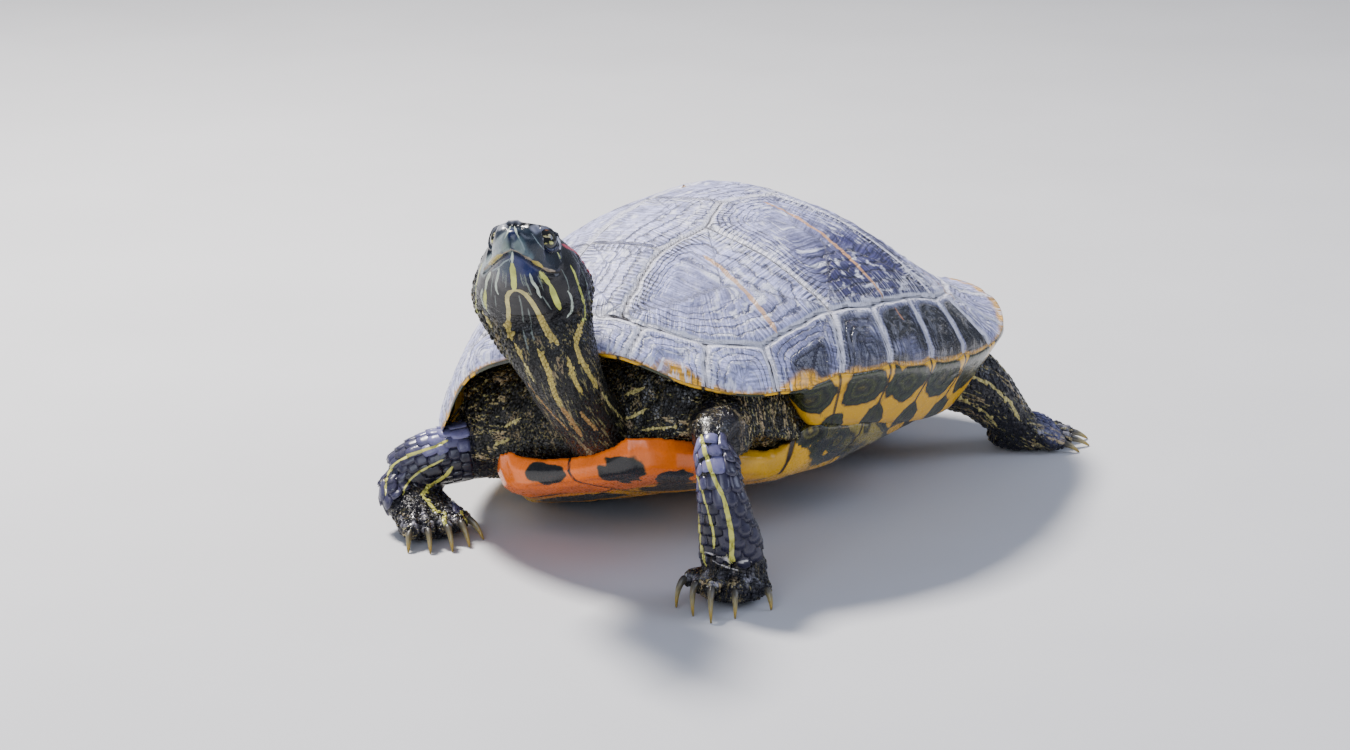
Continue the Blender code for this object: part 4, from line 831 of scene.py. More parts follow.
def paintCarapace(piece, points, fields, kinds, rimShare, arcs, depths):
    # colours that change slowly over the shell; the fine pattern comes from the material
    count = len(fields["seam"])
    dome = points[:count]
    folded = np.abs(dome[:, 0])
    number = fields["scute"].astype(int)
    height = dome[:, 2]
    dark, pale, goldFront, goldRear = (np.array(colour(look[name])) for name in ("dark", "pale", "gold", "cream"))
    # paleness, partly sun-bleached horn and partly painted light: paler higher up the dome as painted sky sheen, with
    # a painted highlight on the first side plate
    bleachAndPaintedLight = 0.6 + 0.2 * smooth(height, 24.0, 68.0) + 0.2 * noise(dome, 26.0, 31) + 0.24 * noise(dome, 6.0, 32)
    bleachAndPaintedLight += 0.35 * bell(np.hypot(folded - 44, dome[:, 1] + 76), 30.0)
    bleachAndPaintedLight += 0.2 * np.where((number <= 1) | (number == 7), 1.0, 0.0)
    bleachAndPaintedLight += 0.3 * np.where(number == 5, smooth(fields["ring"], 0.6, 0.85) * smooth(-dome[:, 1], 38.0, 56.0), 0)
    # the lower parts of the side plates are darker: painted shade
    foot = smooth(62.0 - height, 0.0, 26.0) * smooth(dome[:, 1], -52.0, -30.0) * (1 - smooth(dome[:, 1], 18.0, 30.0))
    bleachAndPaintedLight -= 0.68 * foot * np.where(kinds == "costal", 1.0, 0.0)
    bleachAndPaintedLight -= 0.22 * np.where(number == 5, bell(fields["ring"] - 0.3, 0.3), 0)
    marginal = kinds == "marginal"
    place = number - 9
    wet = np.where(marginal & (place >= 4) & (place <= 7), smooth(fields["ring"], 0.96, 0.8), 0.0)
    wet *= np.where(place == 4, 0.85, 1.0) * smooth(noise(dome, 9.0, 33), -1.1, -0.4)
    wet = np.where(marginal & (place == 3), 0.85 * smooth(fields["ring"], 0.62, 0.45), wet)
    bleachAndPaintedLight = np.where(marginal, 0.95 + 0.2 * noise(dome, 9.0, 34), bleachAndPaintedLight)
    bleachAndPaintedLight = np.where(marginal & (place >= 3), 0.55 + 0.2 * noise(dome, 7.0, 35), bleachAndPaintedLight)
    bleachAndPaintedLight = np.where(marginal & (place >= 8), 0.72 + 0.3 * noise(dome, 7.0, 36), bleachAndPaintedLight)
    bleachAndPaintedLight = np.clip(bleachAndPaintedLight, 0, 1)[:, None]
    top = dark * (1 - bleachAndPaintedLight) + pale * bleachAndPaintedLight
    top = laidOver(top, look["wet"], wet)
    # yellow patches along the front edge and a cream edge behind
    fromRim = (1 - rimShare) * 130
    front = smooth(arcs[:count], 20.0, 34.0) * (1 - smooth(arcs[:count], 112.0, 126.0))
    rear = smooth(arcs[:count], 225.0, 262.0)
    patch = 0.1 + 0.4 * (front + rear) + front * 5.5 * smooth(noise(dome, 12.0, 37), 0.0, 0.7) + rear * 3.0
    gold = (1 - smooth(fromRim, patch * 0.6, patch + 0.8)) * smooth(noise(dome, 5.0, 38), -0.9, -0.3)
    goldColour = goldFront * (1 - rear[:, None]) + goldRear * rear[:, None]
    top = top * (1 - gold[:, None]) + goldColour * gold[:, None]
    # underside: yellow, each plate with a dark ringed oval
    bounds = np.array([look["cervical"], *look["marginSeams"], halfRim])
    index = np.clip(np.searchsorted(bounds, arcs) - 1, 0, 11)
    half = (bounds[index + 1] - bounds[index]) / 2
    across = (arcs - bounds[index] - half) / half
    spot = np.asarray(points, float)
    oval = ((np.abs(across) / 0.94) ** 2.6 + (np.abs(depths - 7.6) / 9.2) ** 2.6) ** (1 / 2.6)
    # a second row across the seams, where the margin meets the plastron
    low = np.hypot((1 - np.abs(across)) / 0.62, (depths - 25.5) / 6.6)
    oval = np.minimum(oval, low) + 0.17 * noise(spot, 6.0, 41) + 0.09 * noise(spot, 2.5, 42)
    writeValue(piece, "oval", oval)
    writeValue(piece, "rimSeam", np.minimum(1 - np.abs(across), 1) * half)
    writeValue(piece, "rimDepth", depths)
    full = np.concatenate([top, np.tile(colour(look["yellow"]), (len(points) - count, 1))])
    writeColour(piece, "shellColour", full)
    writeValue(piece, "wet", np.concatenate([wet, np.zeros(len(points) - count)]))
    streaks = [
        (2.0, "#d8ab80", [(41.0, -63.2, 55.0), (56.5, -67.5, 42.0), (68.5, -71.8, 26.0)]),
        (2.0, "#d09c6c", [(39.0, -11.0, 65.5), (62.0, -14.8, 50.0), (83.0, -18.8, 25.5)]),
        (1.8, "#cf9a6a", [(40.0, 38.0, 63.0), (60.0, 41.0, 48.0), (78.0, 44.0, 25.0)]),
        (1.3, "#b87c58", [(82.0, -44.4, 22.5), (84.6, -43.6, 17.0)]),
        (1.2, "#b87c58", [(85.4, -16.4, 20.5), (88.2, -16.0, 15.0)]),
    ]
    foldedPoints = points[:count].copy()
    foldedPoints[:, 0] = folded
    outwards = foldedPoints / lengthsOf(foldedPoints)[:, None]
    marks = []
    for width, code, path in streaks:
        curve = smoothPath(path, 5)
        curve[:, 2] = domeHeight(curve[:, 0], curve[:, 1]) + look["plateRaise"]
        marks.append((width, code, curve))
    writeMarks(piece, markFields(foldedPoints, outwards, marks), len(points) - count)


carapace = buildCarapace()


def weatheredHorn():
    # dry, sun-bleached horn over dark bone, pale and bluish partly from painted sky sheen, with fine growth lines; wet
    # plates are nearly black
    material, shader, add, place = newMaterial("weatheredHorn")
    paint = add("Attribute", attribute_name="shellColour").outputs["Color"]
    names = ("seamDistance", "seamLength", "growth", "growthShare", "rungs", "under", "wet")
    reads = [add("Attribute", attribute_name=name).outputs["Fac"] for name in names]
    seam, length, growth, share, rungs, under, wet = reads
    coarse = add("TexNoise", {"Vector": place, "Scale": 190.0, "Detail": 4.0, "Roughness": 0.6})
    fine = add("TexNoise", {"Vector": place, "Scale": 1300.0, "Detail": 3.0})
    # growth lines about 2 mm apart, bent by the coarse noise
    bend = add("Math", (coarse, 1.6), operation="MULTIPLY")
    bent = add("Math", (growth, bend), operation="ADD")
    phase = add("Math", (bent,), operation="FRACT")
    groove = add("MapRange", (phase, 0.0, 0.28, 0.0, 1.0), **eased)
    tail = add("MapRange", (phase, 0.86, 1.0, 1.0, 0.0), **eased)
    ring = add("Math", (groove, tail), operation="MULTIPLY")
    ringPart = add("MapRange", (share, 0.25, 0.6, 0.15, 1.0))
    # rungs 2.1 mm apart along the seams
    ladder = add("Math", (length, 2 * pi / 2.1), operation="MULTIPLY")
    swing = add("Math", (ladder, bend), operation="ADD")
    wave = add("Math", (swing,), operation="SINE")
    rung = add("MapRange", (wave, -0.5, 0.3, 0.0, 1.0), **eased)
    # fine rays square to the growth lines, 0.8 mm apart
    rayLength = add("Math", (length, 1.25), operation="MULTIPLY")
    rayPlace = add("CombineXYZ", (rayLength, share))
    rays = add("TexNoise", {"Vector": rayPlace, "Scale": 1.0, "Detail": 2.0}, noise_dimensions="2D")
    crease = add("MapRange", (seam, 0.15, 0.45, 1.0, 0.0), **eased)
    line = add("MapRange", (seam, 1.1, 2.0, 1.0, 0.0), **eased)
    # colour: painted light on the ridges and painted shade in the grooves of the growth lines, rungs and rays, and a
    # pale line beside each seam
    light = add("MapRange", (ring, 0.0, 1.0, 0.34, 1.15))
    ringLight = add("Mix", {0: ringPart, 2: 1.0, 3: light}, data_type="FLOAT")
    rungDark = add("MapRange", (rung, 0.0, 1.0, 0.22, 1.18))
    rungLight = add("Mix", {0: rungs, 2: 1.0, 3: rungDark}, data_type="FLOAT")
    rayLight = add("MapRange", (rays, 0.3, 0.7, 0.58, 1.35))
    cloud = add("MapRange", (coarse, 0.3, 0.7, 0.58, 1.32))
    grit = add("MapRange", (fine, 0.3, 0.7, 0.82, 1.16))
    tone = ringLight
    for light in (rungLight, rayLight, cloud, grit):
        tone = add("Math", (tone, light), operation="MULTIPLY")
    toned = add("VectorMath", {0: paint, "Scale": tone}, operation="SCALE")
    # dry flakes with painted glints: white dashes along the growth lines and across them
    alongPlace = add("CombineXYZ", (length, growth))
    alongPlace = add("VectorMath", (alongPlace, (0.2, 1.5, 1.0)), operation="MULTIPLY")
    dashes = add("TexNoise", {"Vector": alongPlace, "Scale": 1.0, "Detail": 3.0}, noise_dimensions="2D")
    rayPart = add("MapRange", (share, 0.45, 0.85, 0.0, 1.0))
    rayFlakesAndGlints = add("Math", (rays, rayPart), operation="MULTIPLY")
    sheen = add("TexNoise", {"Vector": place, "Scale": 45.0, "Detail": 5.0, "Roughness": 0.62})
    patch = add("MapRange", (sheen, 0.35, 0.65, -0.12, 0.1))
    strokes = add("Math", (dashes, rayFlakesAndGlints), operation="MAXIMUM")
    flakesAndGlints = add("Math", (strokes, patch), operation="ADD")
    flakeAndGlint = add("MapRange", (flakesAndGlints, 0.53, 0.72, 0.0, 0.85), **eased)
    # the dry places carry the flakes and their painted glints
    dry = add("MapRange", (wet, 0.0, 0.7, 1.0, 0.15))
    flakeAndGlintPart = add("Math", (flakeAndGlint, dry), operation="MULTIPLY")
    flakedAndGlinting = add("Mix", {0: flakeAndGlintPart, 6: toned, 7: "#dfe1f3"}, data_type="RGBA")
    palePart = add("Math", (line, 0.8), operation="MULTIPLY")
    lined = add("Mix", {0: palePart, 6: flakedAndGlinting, 7: "#e4e4f0"}, data_type="RGBA")
    creased = add("Mix", {0: crease, 6: lined, 7: "#1f1d2e"}, data_type="RGBA")
    stripe, stripeColour = markNodes(add, 1.3, 420.0)
    stripePart = add("Math", (stripe, 0.8), operation="MULTIPLY")
    topColour = add("Mix", {0: stripePart, 6: creased, 7: stripeColour}, data_type="RGBA")
    # underside: rings of olive and black on yellow
    oval = add("Attribute", attribute_name="oval").outputs["Fac"]
    swirl = add("MapRange", (coarse, 0.0, 1.0, -0.16, 0.16))
    ringed = add("Math", (oval, swirl), operation="ADD")
    blotch = add("ValToRGB", (ringed,))
    stops = [
        (0.0, "#5a5320"), (0.22, "#1a1a14"), (0.42, "#3f431f"), (0.58, "#15160f"), (0.74, "#353c20"),
        (0.9, "#181b12"), (1.0, look["yellow"]),
    ]
    fillRamp(blotch, stops)
    rimSeam = add("Attribute", attribute_name="rimSeam").outputs["Fac"]
    seamLine = add("MapRange", (rimSeam, 0.3, 1.1, 1.0, 0.0), **eased)
    lower = add("Mix", {0: seamLine, 6: blotch, 7: "#191409"}, data_type="RGBA")
    whole = add("Mix", {0: under, 6: topColour, 7: lower}, data_type="RGBA")
    # gloss: dull where bleached, glossy where wet and below
    glossy = add("Math", (wet, under), operation="MAXIMUM")
    shine = add("MapRange", (glossy, 0.0, 1.0, 0.44, 0.2))
    uneven = add("MapRange", (fine, 0.3, 0.7, -0.06, 0.08))
    rough = add("Math", (shine, uneven), operation="ADD")
    # relief in millimetres
    heightParts = [
        (ring, ringPart, 0.4), (rung, rungs, 0.6), (rays, ringPart, 0.4), (dashes, None, 0.5), (coarse, None, 0.8),
        (fine, None, 0.04),
    ]
    total = None
    for value, part, depth in heightParts:
        if part is not None:
            value = add("Math", (value, part), operation="MULTIPLY")
        total = add("Math", (value, depth, total if total else 0.0), operation="MULTIPLY_ADD")
    total = add("Math", (crease, -0.4, total), operation="MULTIPLY_ADD")
    bump = add("Bump", {"Strength": 0.9, "Distance": mm, "Height": total})
    connect(shader, {"Base Color": whole, "Roughness": rough, "IOR": 1.54, "Normal": bump})
    return material


carapace.data.materials.append(weatheredHorn())
finishPiece(carapace, "weathered_keratin", "carapace")


# Skin: one closed coat over the flesh
skinLook = {
    "nodes": [
        "head", "neck", "torso", "tail", "foreleg_left", "foreleg_right", "forefoot_left", "forefoot_right",
        "hindleg_left", "hindleg_right", "hindfoot_left", "hindfoot_right",
    ],
    "frontBlock": -50.0,
    "rearBlock": 38.0,
    "swell": 0.4,
    "voxel": 0.95,
    "relaxRounds": 8,
    # flesh under the shell: how far out and how low it is hidden, and how many of its points are left out
    "hiddenShare": 0.8,
    "hiddenHeight": -26.0,
    "thinned": 0.8,
    "neckRadius": 19.0,
    "creaseBack": 0.25,
}


def block(name, low, high):
    bpy.ops.mesh.primitive_cube_add(size=1)
    cutter = bpy.context.active_object
    cutter.name = name
    low, high = np.array(low), np.array(high)
    corners = np.array([vertex.co for vertex in cutter.data.vertices]) + 0.5
    writePoints(cutter, low + corners * (high - low))
    return cutter


def keepInside(piece, cutter):
    applyModifier(piece, "BOOLEAN", operation="INTERSECT", solver="MANIFOLD", object=cutter)
    bpy.data.objects.remove(cutter)


def joinPieces(pieces):
    deselectAll()
    for piece in pieces:
        piece.select_set(True)
    bpy.context.view_layer.objects.active = pieces[0]
    bpy.ops.object.join()
    return pieces[0]


def buildSkin():
    parts = [mergedCopy(node, "flesh") for node in skinLook["nodes"] if node != "torso"]
    parts += [mergedCopy("eye_left", "flesh"), mergedCopy("eye_right", "flesh")]
    deselectAll()
    front = mergedCopy("torso", "flesh")
    rear = mergedCopy("torso", "flesh")
    edge = np.array([200.0, 300.0, 300.0])
    middle = shift[1]
    keepInside(front, block("frontBlock", -edge, (edge[0], skinLook["frontBlock"] + middle, edge[2])))
    keepInside(rear, block("rearBlock", (-edge[0], skinLook["rearBlock"] + middle, -edge[2]), edge))
    piece = joinPieces([*parts, front, rear])
    piece.name = "skin"
    piece.data.name = "skin"
    writePoints(piece, readPoints(piece) + readNormals(piece) * skinLook["swell"])
    applyModifier(piece, "REMESH", mode="VOXEL", voxel_size=skinLook["voxel"] * mm)
    print("skin:", len(piece.data.vertices), "points")
    return piece


def underShell(points):
    # which points the shell hides
    shell = worldToShell(points)
    radius = rimBeyond(shell[:, 0], shell[:, 1])[1]
    inside = np.hypot(shell[:, 0], shell[:, 1]) < radius * skinLook["hiddenShare"]
    return inside & (shell[:, 2] > skinLook["hiddenHeight"])


def thinHidden(piece):
    # fewer faces on the flesh that the shell hides
    hidden = underShell(readPoints(piece))
    group = piece.vertex_groups.new(name="hidden")
    group.add(np.nonzero(hidden)[0].tolist(), 1.0, "ADD")
    ratio = 1 - skinLook["thinned"] * hidden.mean()
    applyModifier(piece, "DECIMATE", ratio=ratio, vertex_group="hidden", vertex_group_factor=1000.0)
    piece.vertex_groups.clear()
    print("hidden:", hidden.sum(), "points, left in all:", len(piece.data.vertices))


skin = buildSkin()
relax(skin, skinLook["relaxRounds"], np.ones(len(skin.data.vertices)))
thinHidden(skin)


def refineHead(piece):
    shape = bmesh.new()
    shape.from_mesh(piece.data)
    points = np.array([vertex.co for vertex in shape.verts]) / mm
    local = headLocal(points)
    near = (local[:, 0] > -9) & (lengthsOf(local) < 34)
    edges = [edge for edge in shape.edges if near[edge.verts[0].index] and near[edge.verts[1].index]]
    bmesh.ops.subdivide_edges(shape, edges=edges, cuts=1, use_grid_fill=True)
    bmesh.ops.triangulate(shape, faces=[face for face in shape.faces if len(face.verts) > 4])
    shape.to_mesh(piece.data)
    shape.free()


headLook = {
    "mouthGroove": 0.85,
    "jawLip": 0.5,
    "lidOpening": (5.0, 4.3),
    "lidInside": 3.9,
    "reach": 36.0,
    "neckEdge": -8.0,
    "faceMiddle": (12.0, 0, 3.0),
    "lidRim": 5.3,
    "lidEdge": "#0d0f1c",
    # over the picture's frame: nostrils, middle of the near eye, mouth from the far corner to the near one
    "nostrils": [(509.3, 223.9), (515.3, 223.9)],
    "eye": (547.2, 237.9),
    # the crown's outline against the sky
    "crown": [
        (486.0, 240.0), (491.4, 224.6), (503.9, 223.0), (508.0, 220.0), (518.0, 219.4), (521.0, 221.6),
        (532.5, 223.2), (546.0, 225.2), (552.0, 228.4), (559.5, 239.5),
    ],
    "mouth": [
        (483.0, 273.6), (492.0, 264.6), (499.5, 258.2), (507.0, 253.6), (511.6, 251.4), (517.0, 253.4),
        (525.0, 258.0), (532.5, 263.4), (541.4, 269.2), (547.8, 273.6), (555.7, 274.0), (561.0, 271.5),
    ],
}


def faceDistance(points):
    return lengthsOf(headLocal(points) - headLook["faceMiddle"])


def solidMouthLine(f, l):
    share = np.clip(f / headLie["beakReach"], 0, 1)
    return -0.2 - 1.3 * np.sin(share * pi) + 1.5 * bell(l, 2.2) * share**3


def ballHit(pixel, side=1):
    # head coordinates of the place where a ray meets the near eye's ball, mirrored for the far eye
    way = pixelRay(*pixel)
    gap = cameraPlace - boxMiddle("eye_left")
    b = gap @ way
    reach = -b - np.sqrt(max(b * b - gap @ gap + headLie["eyeRadius"] ** 2, 0))
    return headLocal(cameraPlace + way * reach) * (1, side, 1)


def pixelHit(tree, pixel):
    # the place where a pixel's ray meets a shape
    hit = tree.ray_cast(Vector(cameraPlace * mm), Vector(pixelRay(*pixel)))[0]
    return None if hit is None else np.array(hit) / mm


def castPath(path):
    # places of a path over the skin, in millimetres, by rays from the camera
    spans = [max(3, int(np.hypot(*np.subtract(b, a)) / 3)) for a, b in zip(path, path[1:])]
    runs = [np.linspace(a, b, count, endpoint=False) for count, a, b in zip(spans, path, path[1:])]
    places = []
    for x, y in [*np.concatenate(runs), path[-1]]:
        hit = pixelHit(skinTree, (x, y))
        if hit is not None:
            places.append(hit)
    return np.array(places)


def eyeFrame(side):
    # middle, gaze, rearwards and upwards directions of an eye
    middle = boxMiddle("eye_left" if side > 0 else "eye_right")
    gaze = unit(ballHit(headLook["eye"], side) - headLocal(middle))
    level = unit(np.cross(gaze, (0, 0, 1.0)))
    rise = np.cross(level, gaze)
    rise *= np.sign(rise[2])
    return middle, gaze @ headAxes, level @ headAxes, rise @ headAxes


def lidFields(points, side):
    # for an eye: its gaze, each point's place from its middle, and how far out in the lids' opening it lies
    middle, gaze, level, rise = eyeFrame(side)
    gap = points - middle
    wide, tall = headLook["lidOpening"]
    return gaze, gap, np.hypot(gap @ level / wide, gap @ rise / tall)


def softenSolidMouth(piece):
    # fills the coarse mouth line of the solid before the finer one is cut
    points = readPoints(piece)
    local = headLocal(points)
    f, l, u = local.T
    near = bell(u - solidMouthLine(f, l), 2.2) * smooth(f, -6.0, -2.0) * (lengthsOf(local) < headLook["reach"])
    a, b = readEdges(piece)
    used = (near[a] > 0.02) | (near[b] > 0.02)
    for _ in range(24):
        mean, count = neighbourMean(points, a[used], b[used])
        points += np.where(count[:, None] > 2, (mean - points) * near[:, None] * 0.6, 0)
    writePoints(piece, points)


def mouthDistance(points):
    # distance to the mouth, length along it, and height above it
    away, along = pathDistance(points, mouthPath)
    level = np.interp(along, pathReach(mouthPath), headLocal(mouthPath)[:, 2])
    return away, along, headLocal(points)[:, 2] - level


def sculptHead(piece):
    points = readPoints(piece)
    normals = readNormals(piece)
    local = headLocal(points)
    onHead = (lengthsOf(local) < headLook["reach"]) & (local[:, 0] > headLook["neckEdge"])
    away, along, drop = mouthDistance(points)
    end = np.minimum(along, along.max() - along)
    jaw = onHead * smooth(end, -0.1, 2.5)
    groove = bell(away, 0.42)
    lip = np.where(drop > 0, bell(away - 1.25, 0.9), 0.35 * bell(away - 1.2, 0.7))
    points += normals * ((headLook["jawLip"] * lip - headLook["mouthGroove"] * groove) * jaw)[:, None]
    for pixel in headLook["nostrils"]:
        pit = castPath([pixel, pixel])[0]
        away = lengthsOf(points - pit)
        points -= normals * (1.3 * bell(away, 0.6) - 0.3 * bell(away - 1.2, 0.4))[:, None]
    for side in (-1, 1):
        gaze, gap, spread = lidFields(points, side)
        radius = lengthsOf(gap)
        around = (radius < 10.5) & (gap @ gaze > 0)
        rim = headLook["lidInside"] + (headLook["lidRim"] - headLook["lidInside"]) * smooth(spread, 0.86, 1.04)
        hold = around * (1 - smooth(spread, 1.4, 2.1))
        fold = 0.3 * bell(spread - 1.2, 0.09) - 0.4 * bell(spread - 1.42, 0.09)
        want = np.where(spread < 1.02, rim, np.clip(radius, rim, headLook["lidRim"] + 0.25)) + fold
        points += gap / np.maximum(radius, 0.1)[:, None] * ((want - radius) * hold)[:, None]
    # the crown is pressed down to its outline
    places = framePlace(points)
    crown = np.array(headLook["crown"])
    over = np.interp(places[:, 0], crown[:, 0], crown[:, 1]) - places[:, 1]
    over = (over + np.sqrt(over**2 + 3.0)) / 2
    pressed = onHead * smooth(places[:, 0], 486.0, 492.0) * (1 - smooth(places[:, 0], 552.0, 559.0))
    points -= up * (np.where(over > 0.25, over, 0) * pressed / cameraView["pixelsPerMm"])[:, None]
    writePoints(piece, points)
    return onHead


limbPaths = {
    "neck": [(3, -80, 38), (5, -91, 42.5), (6.8, -101.5, 48.5), (7.5, -111.5, 57), (7.8, -121.5, 67.8),
             (8.4, -129.6, 80)],
    "foreLeft": [(57, -107, 53), (63, -117.5, 45), (65.5, -119, 33), (67, -117, 20), (68, -114, 9)],
    "foreRight": [(-54, -82, 27.5), (-67, -93, 25), (-76, -99, 19.5), (-74.5, -102, 13.5), (-67, -105, 9.5),
                  (-60, -108, 7)],
    "hindLeft": [(56, 62, 36), (67, 73, 30), (72, 82, 21), (76, 89, 13), (84, 98, 7)],
    "hindRight": [(-46, 65, 19), (-57, 82, 15.5), (-66, 95, 12), (-73, 104, 9), (-82, 117, 6)],
    "armLeft": [(39, -72, 51), (48, -88, 53), (57, -107, 53)],
    "armRight": [(-40, -70, 27), (-54, -82, 27.5)],
}
limbPaths = {name: np.array(path) + shift for name, path in limbPaths.items()}


def neckPlace(points):
    # distance from the neck's middle line, and length along it from the neck's root
    return pathDistance(points, smoothPath(limbPaths["neck"], 3))


def legDistance(points):
    # distance from the nearest leg's middle line
    legs = ("foreLeft", "foreRight", "hindLeft", "hindRight")
    return np.min([pathDistance(points, limbPaths[name])[0] for name in legs], axis=0)


def flowPlace(points):
    # lengths across each limb and, shortened, along it: a pattern read at these runs lengthwise
    best = np.full(len(points), 1e9)
    flow = np.zeros((len(points), 3))
    owner = np.zeros(len(points), int)
    across = {"neck": (1.0, 0, 0), "armLeft": (0, 0, 1.0), "armRight": (0, 0, 1.0)}
    across |= {"hindLeft": (0.3, 0, 1.0), "hindRight": (0.3, 0, 1.0)}
    for number, (name, side) in enumerate(across.items()):
        path = smoothPath(limbPaths[name], 4)
        start = 0.0
        for a, b in zip(path, path[1:]):
            length = np.linalg.norm(b - a)
            run = (b - a) / length
            t = (points - a) @ run
            inside = np.clip(t, -30.0 if start == 0 else 0.0, length if b is not path[-1] else length + 30.0)
            gap = points - a - inside[:, None] * run
            away = lengthsOf(gap) * (0.85 if name == "neck" else 1.0)
            first = unit(np.array(side) - run * (run @ side))
            second = np.cross(run, first)
            closer = away < best
            best[closer] = away[closer]
            here = np.stack([gap @ first + 40 * number, gap @ second, (start + inside) * 0.12], axis=-1)
            flow[closer] = here[closer]
            owner[closer] = number
            start += length
    # the shoulders: streaks run sidewards, and outside the left one downwards
    shoulder = np.isin(owner, (1, 2))
    outer = points[:, 0] > 47.0
    flow[shoulder & ~outer] = (points * (0.14, 1.0, 1.0))[shoulder & ~outer]
    flow[shoulder & outer] = (points * (1.0, 1.0, 0.16))[shoulder & outer]
    return flow, owner


clawNodes = [node for node in sorted(frame["nodes"]) if node.startswith("claw_")]


def clawEnds(points):
    # the lowest point, and the one furthest from it
    tip = points[np.argmin(points[:, 2])]
    return tip, points[np.argmax(lengthsOf(points - tip))]


def footDigits():
    # for each foot, named fore or hind and left or right: the roots of its claws
    feet = {}
    for node in clawNodes:
        _, kind, side, _ = node.split("_")
        feet.setdefault(f"{kind}foot_{side}", []).append(clawEnds(readPoints(frame["nodes"][node]))[1])
    return feet


def digitFields(points):
    # share of the way down the nearest digit, and how near the web between two digits a point lies
    share = np.zeros(len(points))
    web = np.zeros(len(points))
    for foot, roots in footDigits().items():
        low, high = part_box(foot)
        wrist = (np.array(low) + np.array(high)) / 2 / mm
        wrist[2] = np.array(high)[2] / mm * 0.8
        mean = np.mean(roots, axis=0)
        wrist[:2] = wrist[:2] * 1.5 - mean[:2] * 0.5
        near = np.nonzero(lengthsOf(points - wrist) < 34)[0]
        if not len(near):
            continue
        aways, alongs = [], []
        for root in roots:
            run = root - wrist
            length = np.linalg.norm(run)
            t = np.clip((points[near] - wrist) @ run / length**2, 0, 1.1)
            aways.append(lengthsOf(points[near] - wrist - t[:, None] * run))
            alongs.append(t)
        aways, alongs = np.array(aways), np.array(alongs)
        order = np.argsort(aways, axis=0)
        first = np.take_along_axis(aways, order[:1], 0)[0]
        second = np.take_along_axis(aways, order[1:2], 0)[0]
        along = np.take_along_axis(alongs, order[:1], 0)[0]
        close = first < 7.0
        share[near] = np.where(close, along, 0)
        web[near] = np.where(close, bell(second - first, 1.1), 0)
    return share, web


# the left foreleg over the picture's frame, row by row: its solid's left edge and breadth, and how far each edge moves
legTaper = {
    "rows": [420.0, 441.0, 459.5, 478.0, 496.5, 515.0, 533.0, 552.0, 575.0],
    "left": [688.0, 688.0, 688.0, 689.0, 691.5, 693.0, 695.0, 697.0, 699.0],
    "broad": [57.0, 57.0, 59.0, 58.0, 57.0, 59.5, 61.0, 65.0, 66.0],
    "inLeft": [0.0, 6.0, 6.5, 6.5, 5.0, 4.5, 3.5, 2.0, 0.0],
    "inRight": [0.0, -16.0, -9.0, -4.0, -1.0, 0.0, 3.0, 1.0, 0.0],
}


def wrinkleSkin(piece, onHead):
    points = readPoints(piece)
    normals = readNormals(piece)
    away, along = neckPlace(points)
    neck = (away < skinLook["neckRadius"]) & ~onHead
    loose = 1 - smooth(along, 8.0, 52.0)
    # lengthwise folds of the neck, deeper towards its root
    stretch = points * (1.0, 0.34, 0.34)
    folds = -np.abs(noise(stretch, 4.2, 51)) - 0.5 * np.abs(noise(stretch, 2.1, 52))
    move = neck * (0.25 + 1.15 * loose) * (folds + 0.35)
    shoulder = ~neck & ~onHead
    crumple = -np.abs(noise(points * (1, 1, 0.5), 5.5, 53)) - 0.4 * np.abs(noise(points, 2.6, 54))
    move += shoulder * (crumple + 0.3) * (0.3 + 0.9 * smooth(legDistance(points), 10.0, 17.0))
    # the left foreleg narrows towards the elbow
    places = framePlace(points)
    rows = np.array(legTaper["rows"])
    left, broad, inLeft, inRight = (
        np.interp(places[:, 1], rows, legTaper[key]) for key in ("left", "broad", "inLeft", "inRight")
    )
    share = np.clip((places[:, 0] - left) / broad, 0, 1)
    inward = inLeft * (1 - share)
    inward += inRight * share
    away = pathDistance(points, smoothPath(limbPaths["foreLeft"], 4))[0]
    points += right * (inward * (1 - smooth(away, 11.5, 15.0)) / cameraView["pixelsPerMm"])[:, None]
    # digits stand out from the web between them
    share, web = digitFields(points)
    move += smooth(share, 0.3, 0.65) * (0.55 * (1 - web) - 1.5 * web)
    points += normals * move[:, None]
    points[:, 2] = np.maximum(points[:, 2], 0.05)
    writePoints(piece, points)


softenSolidMouth(skin)
refineHead(skin)
skinTree = BVHTree.FromObject(skin, bpy.context.evaluated_depsgraph_get())
mouthPath = castPath(headLook["mouth"])
onHead = sculptHead(skin)
wrinkleSkin(skin, onHead)
relax(skin, 1, np.where(onHead, 0.0, skinLook["creaseBack"]))
print("skin sculpted:", len(skin.data.vertices), "points", len(skin.data.polygons), "faces")
skinTree = BVHTree.FromObject(skin, bpy.context.evaluated_depsgraph_get())

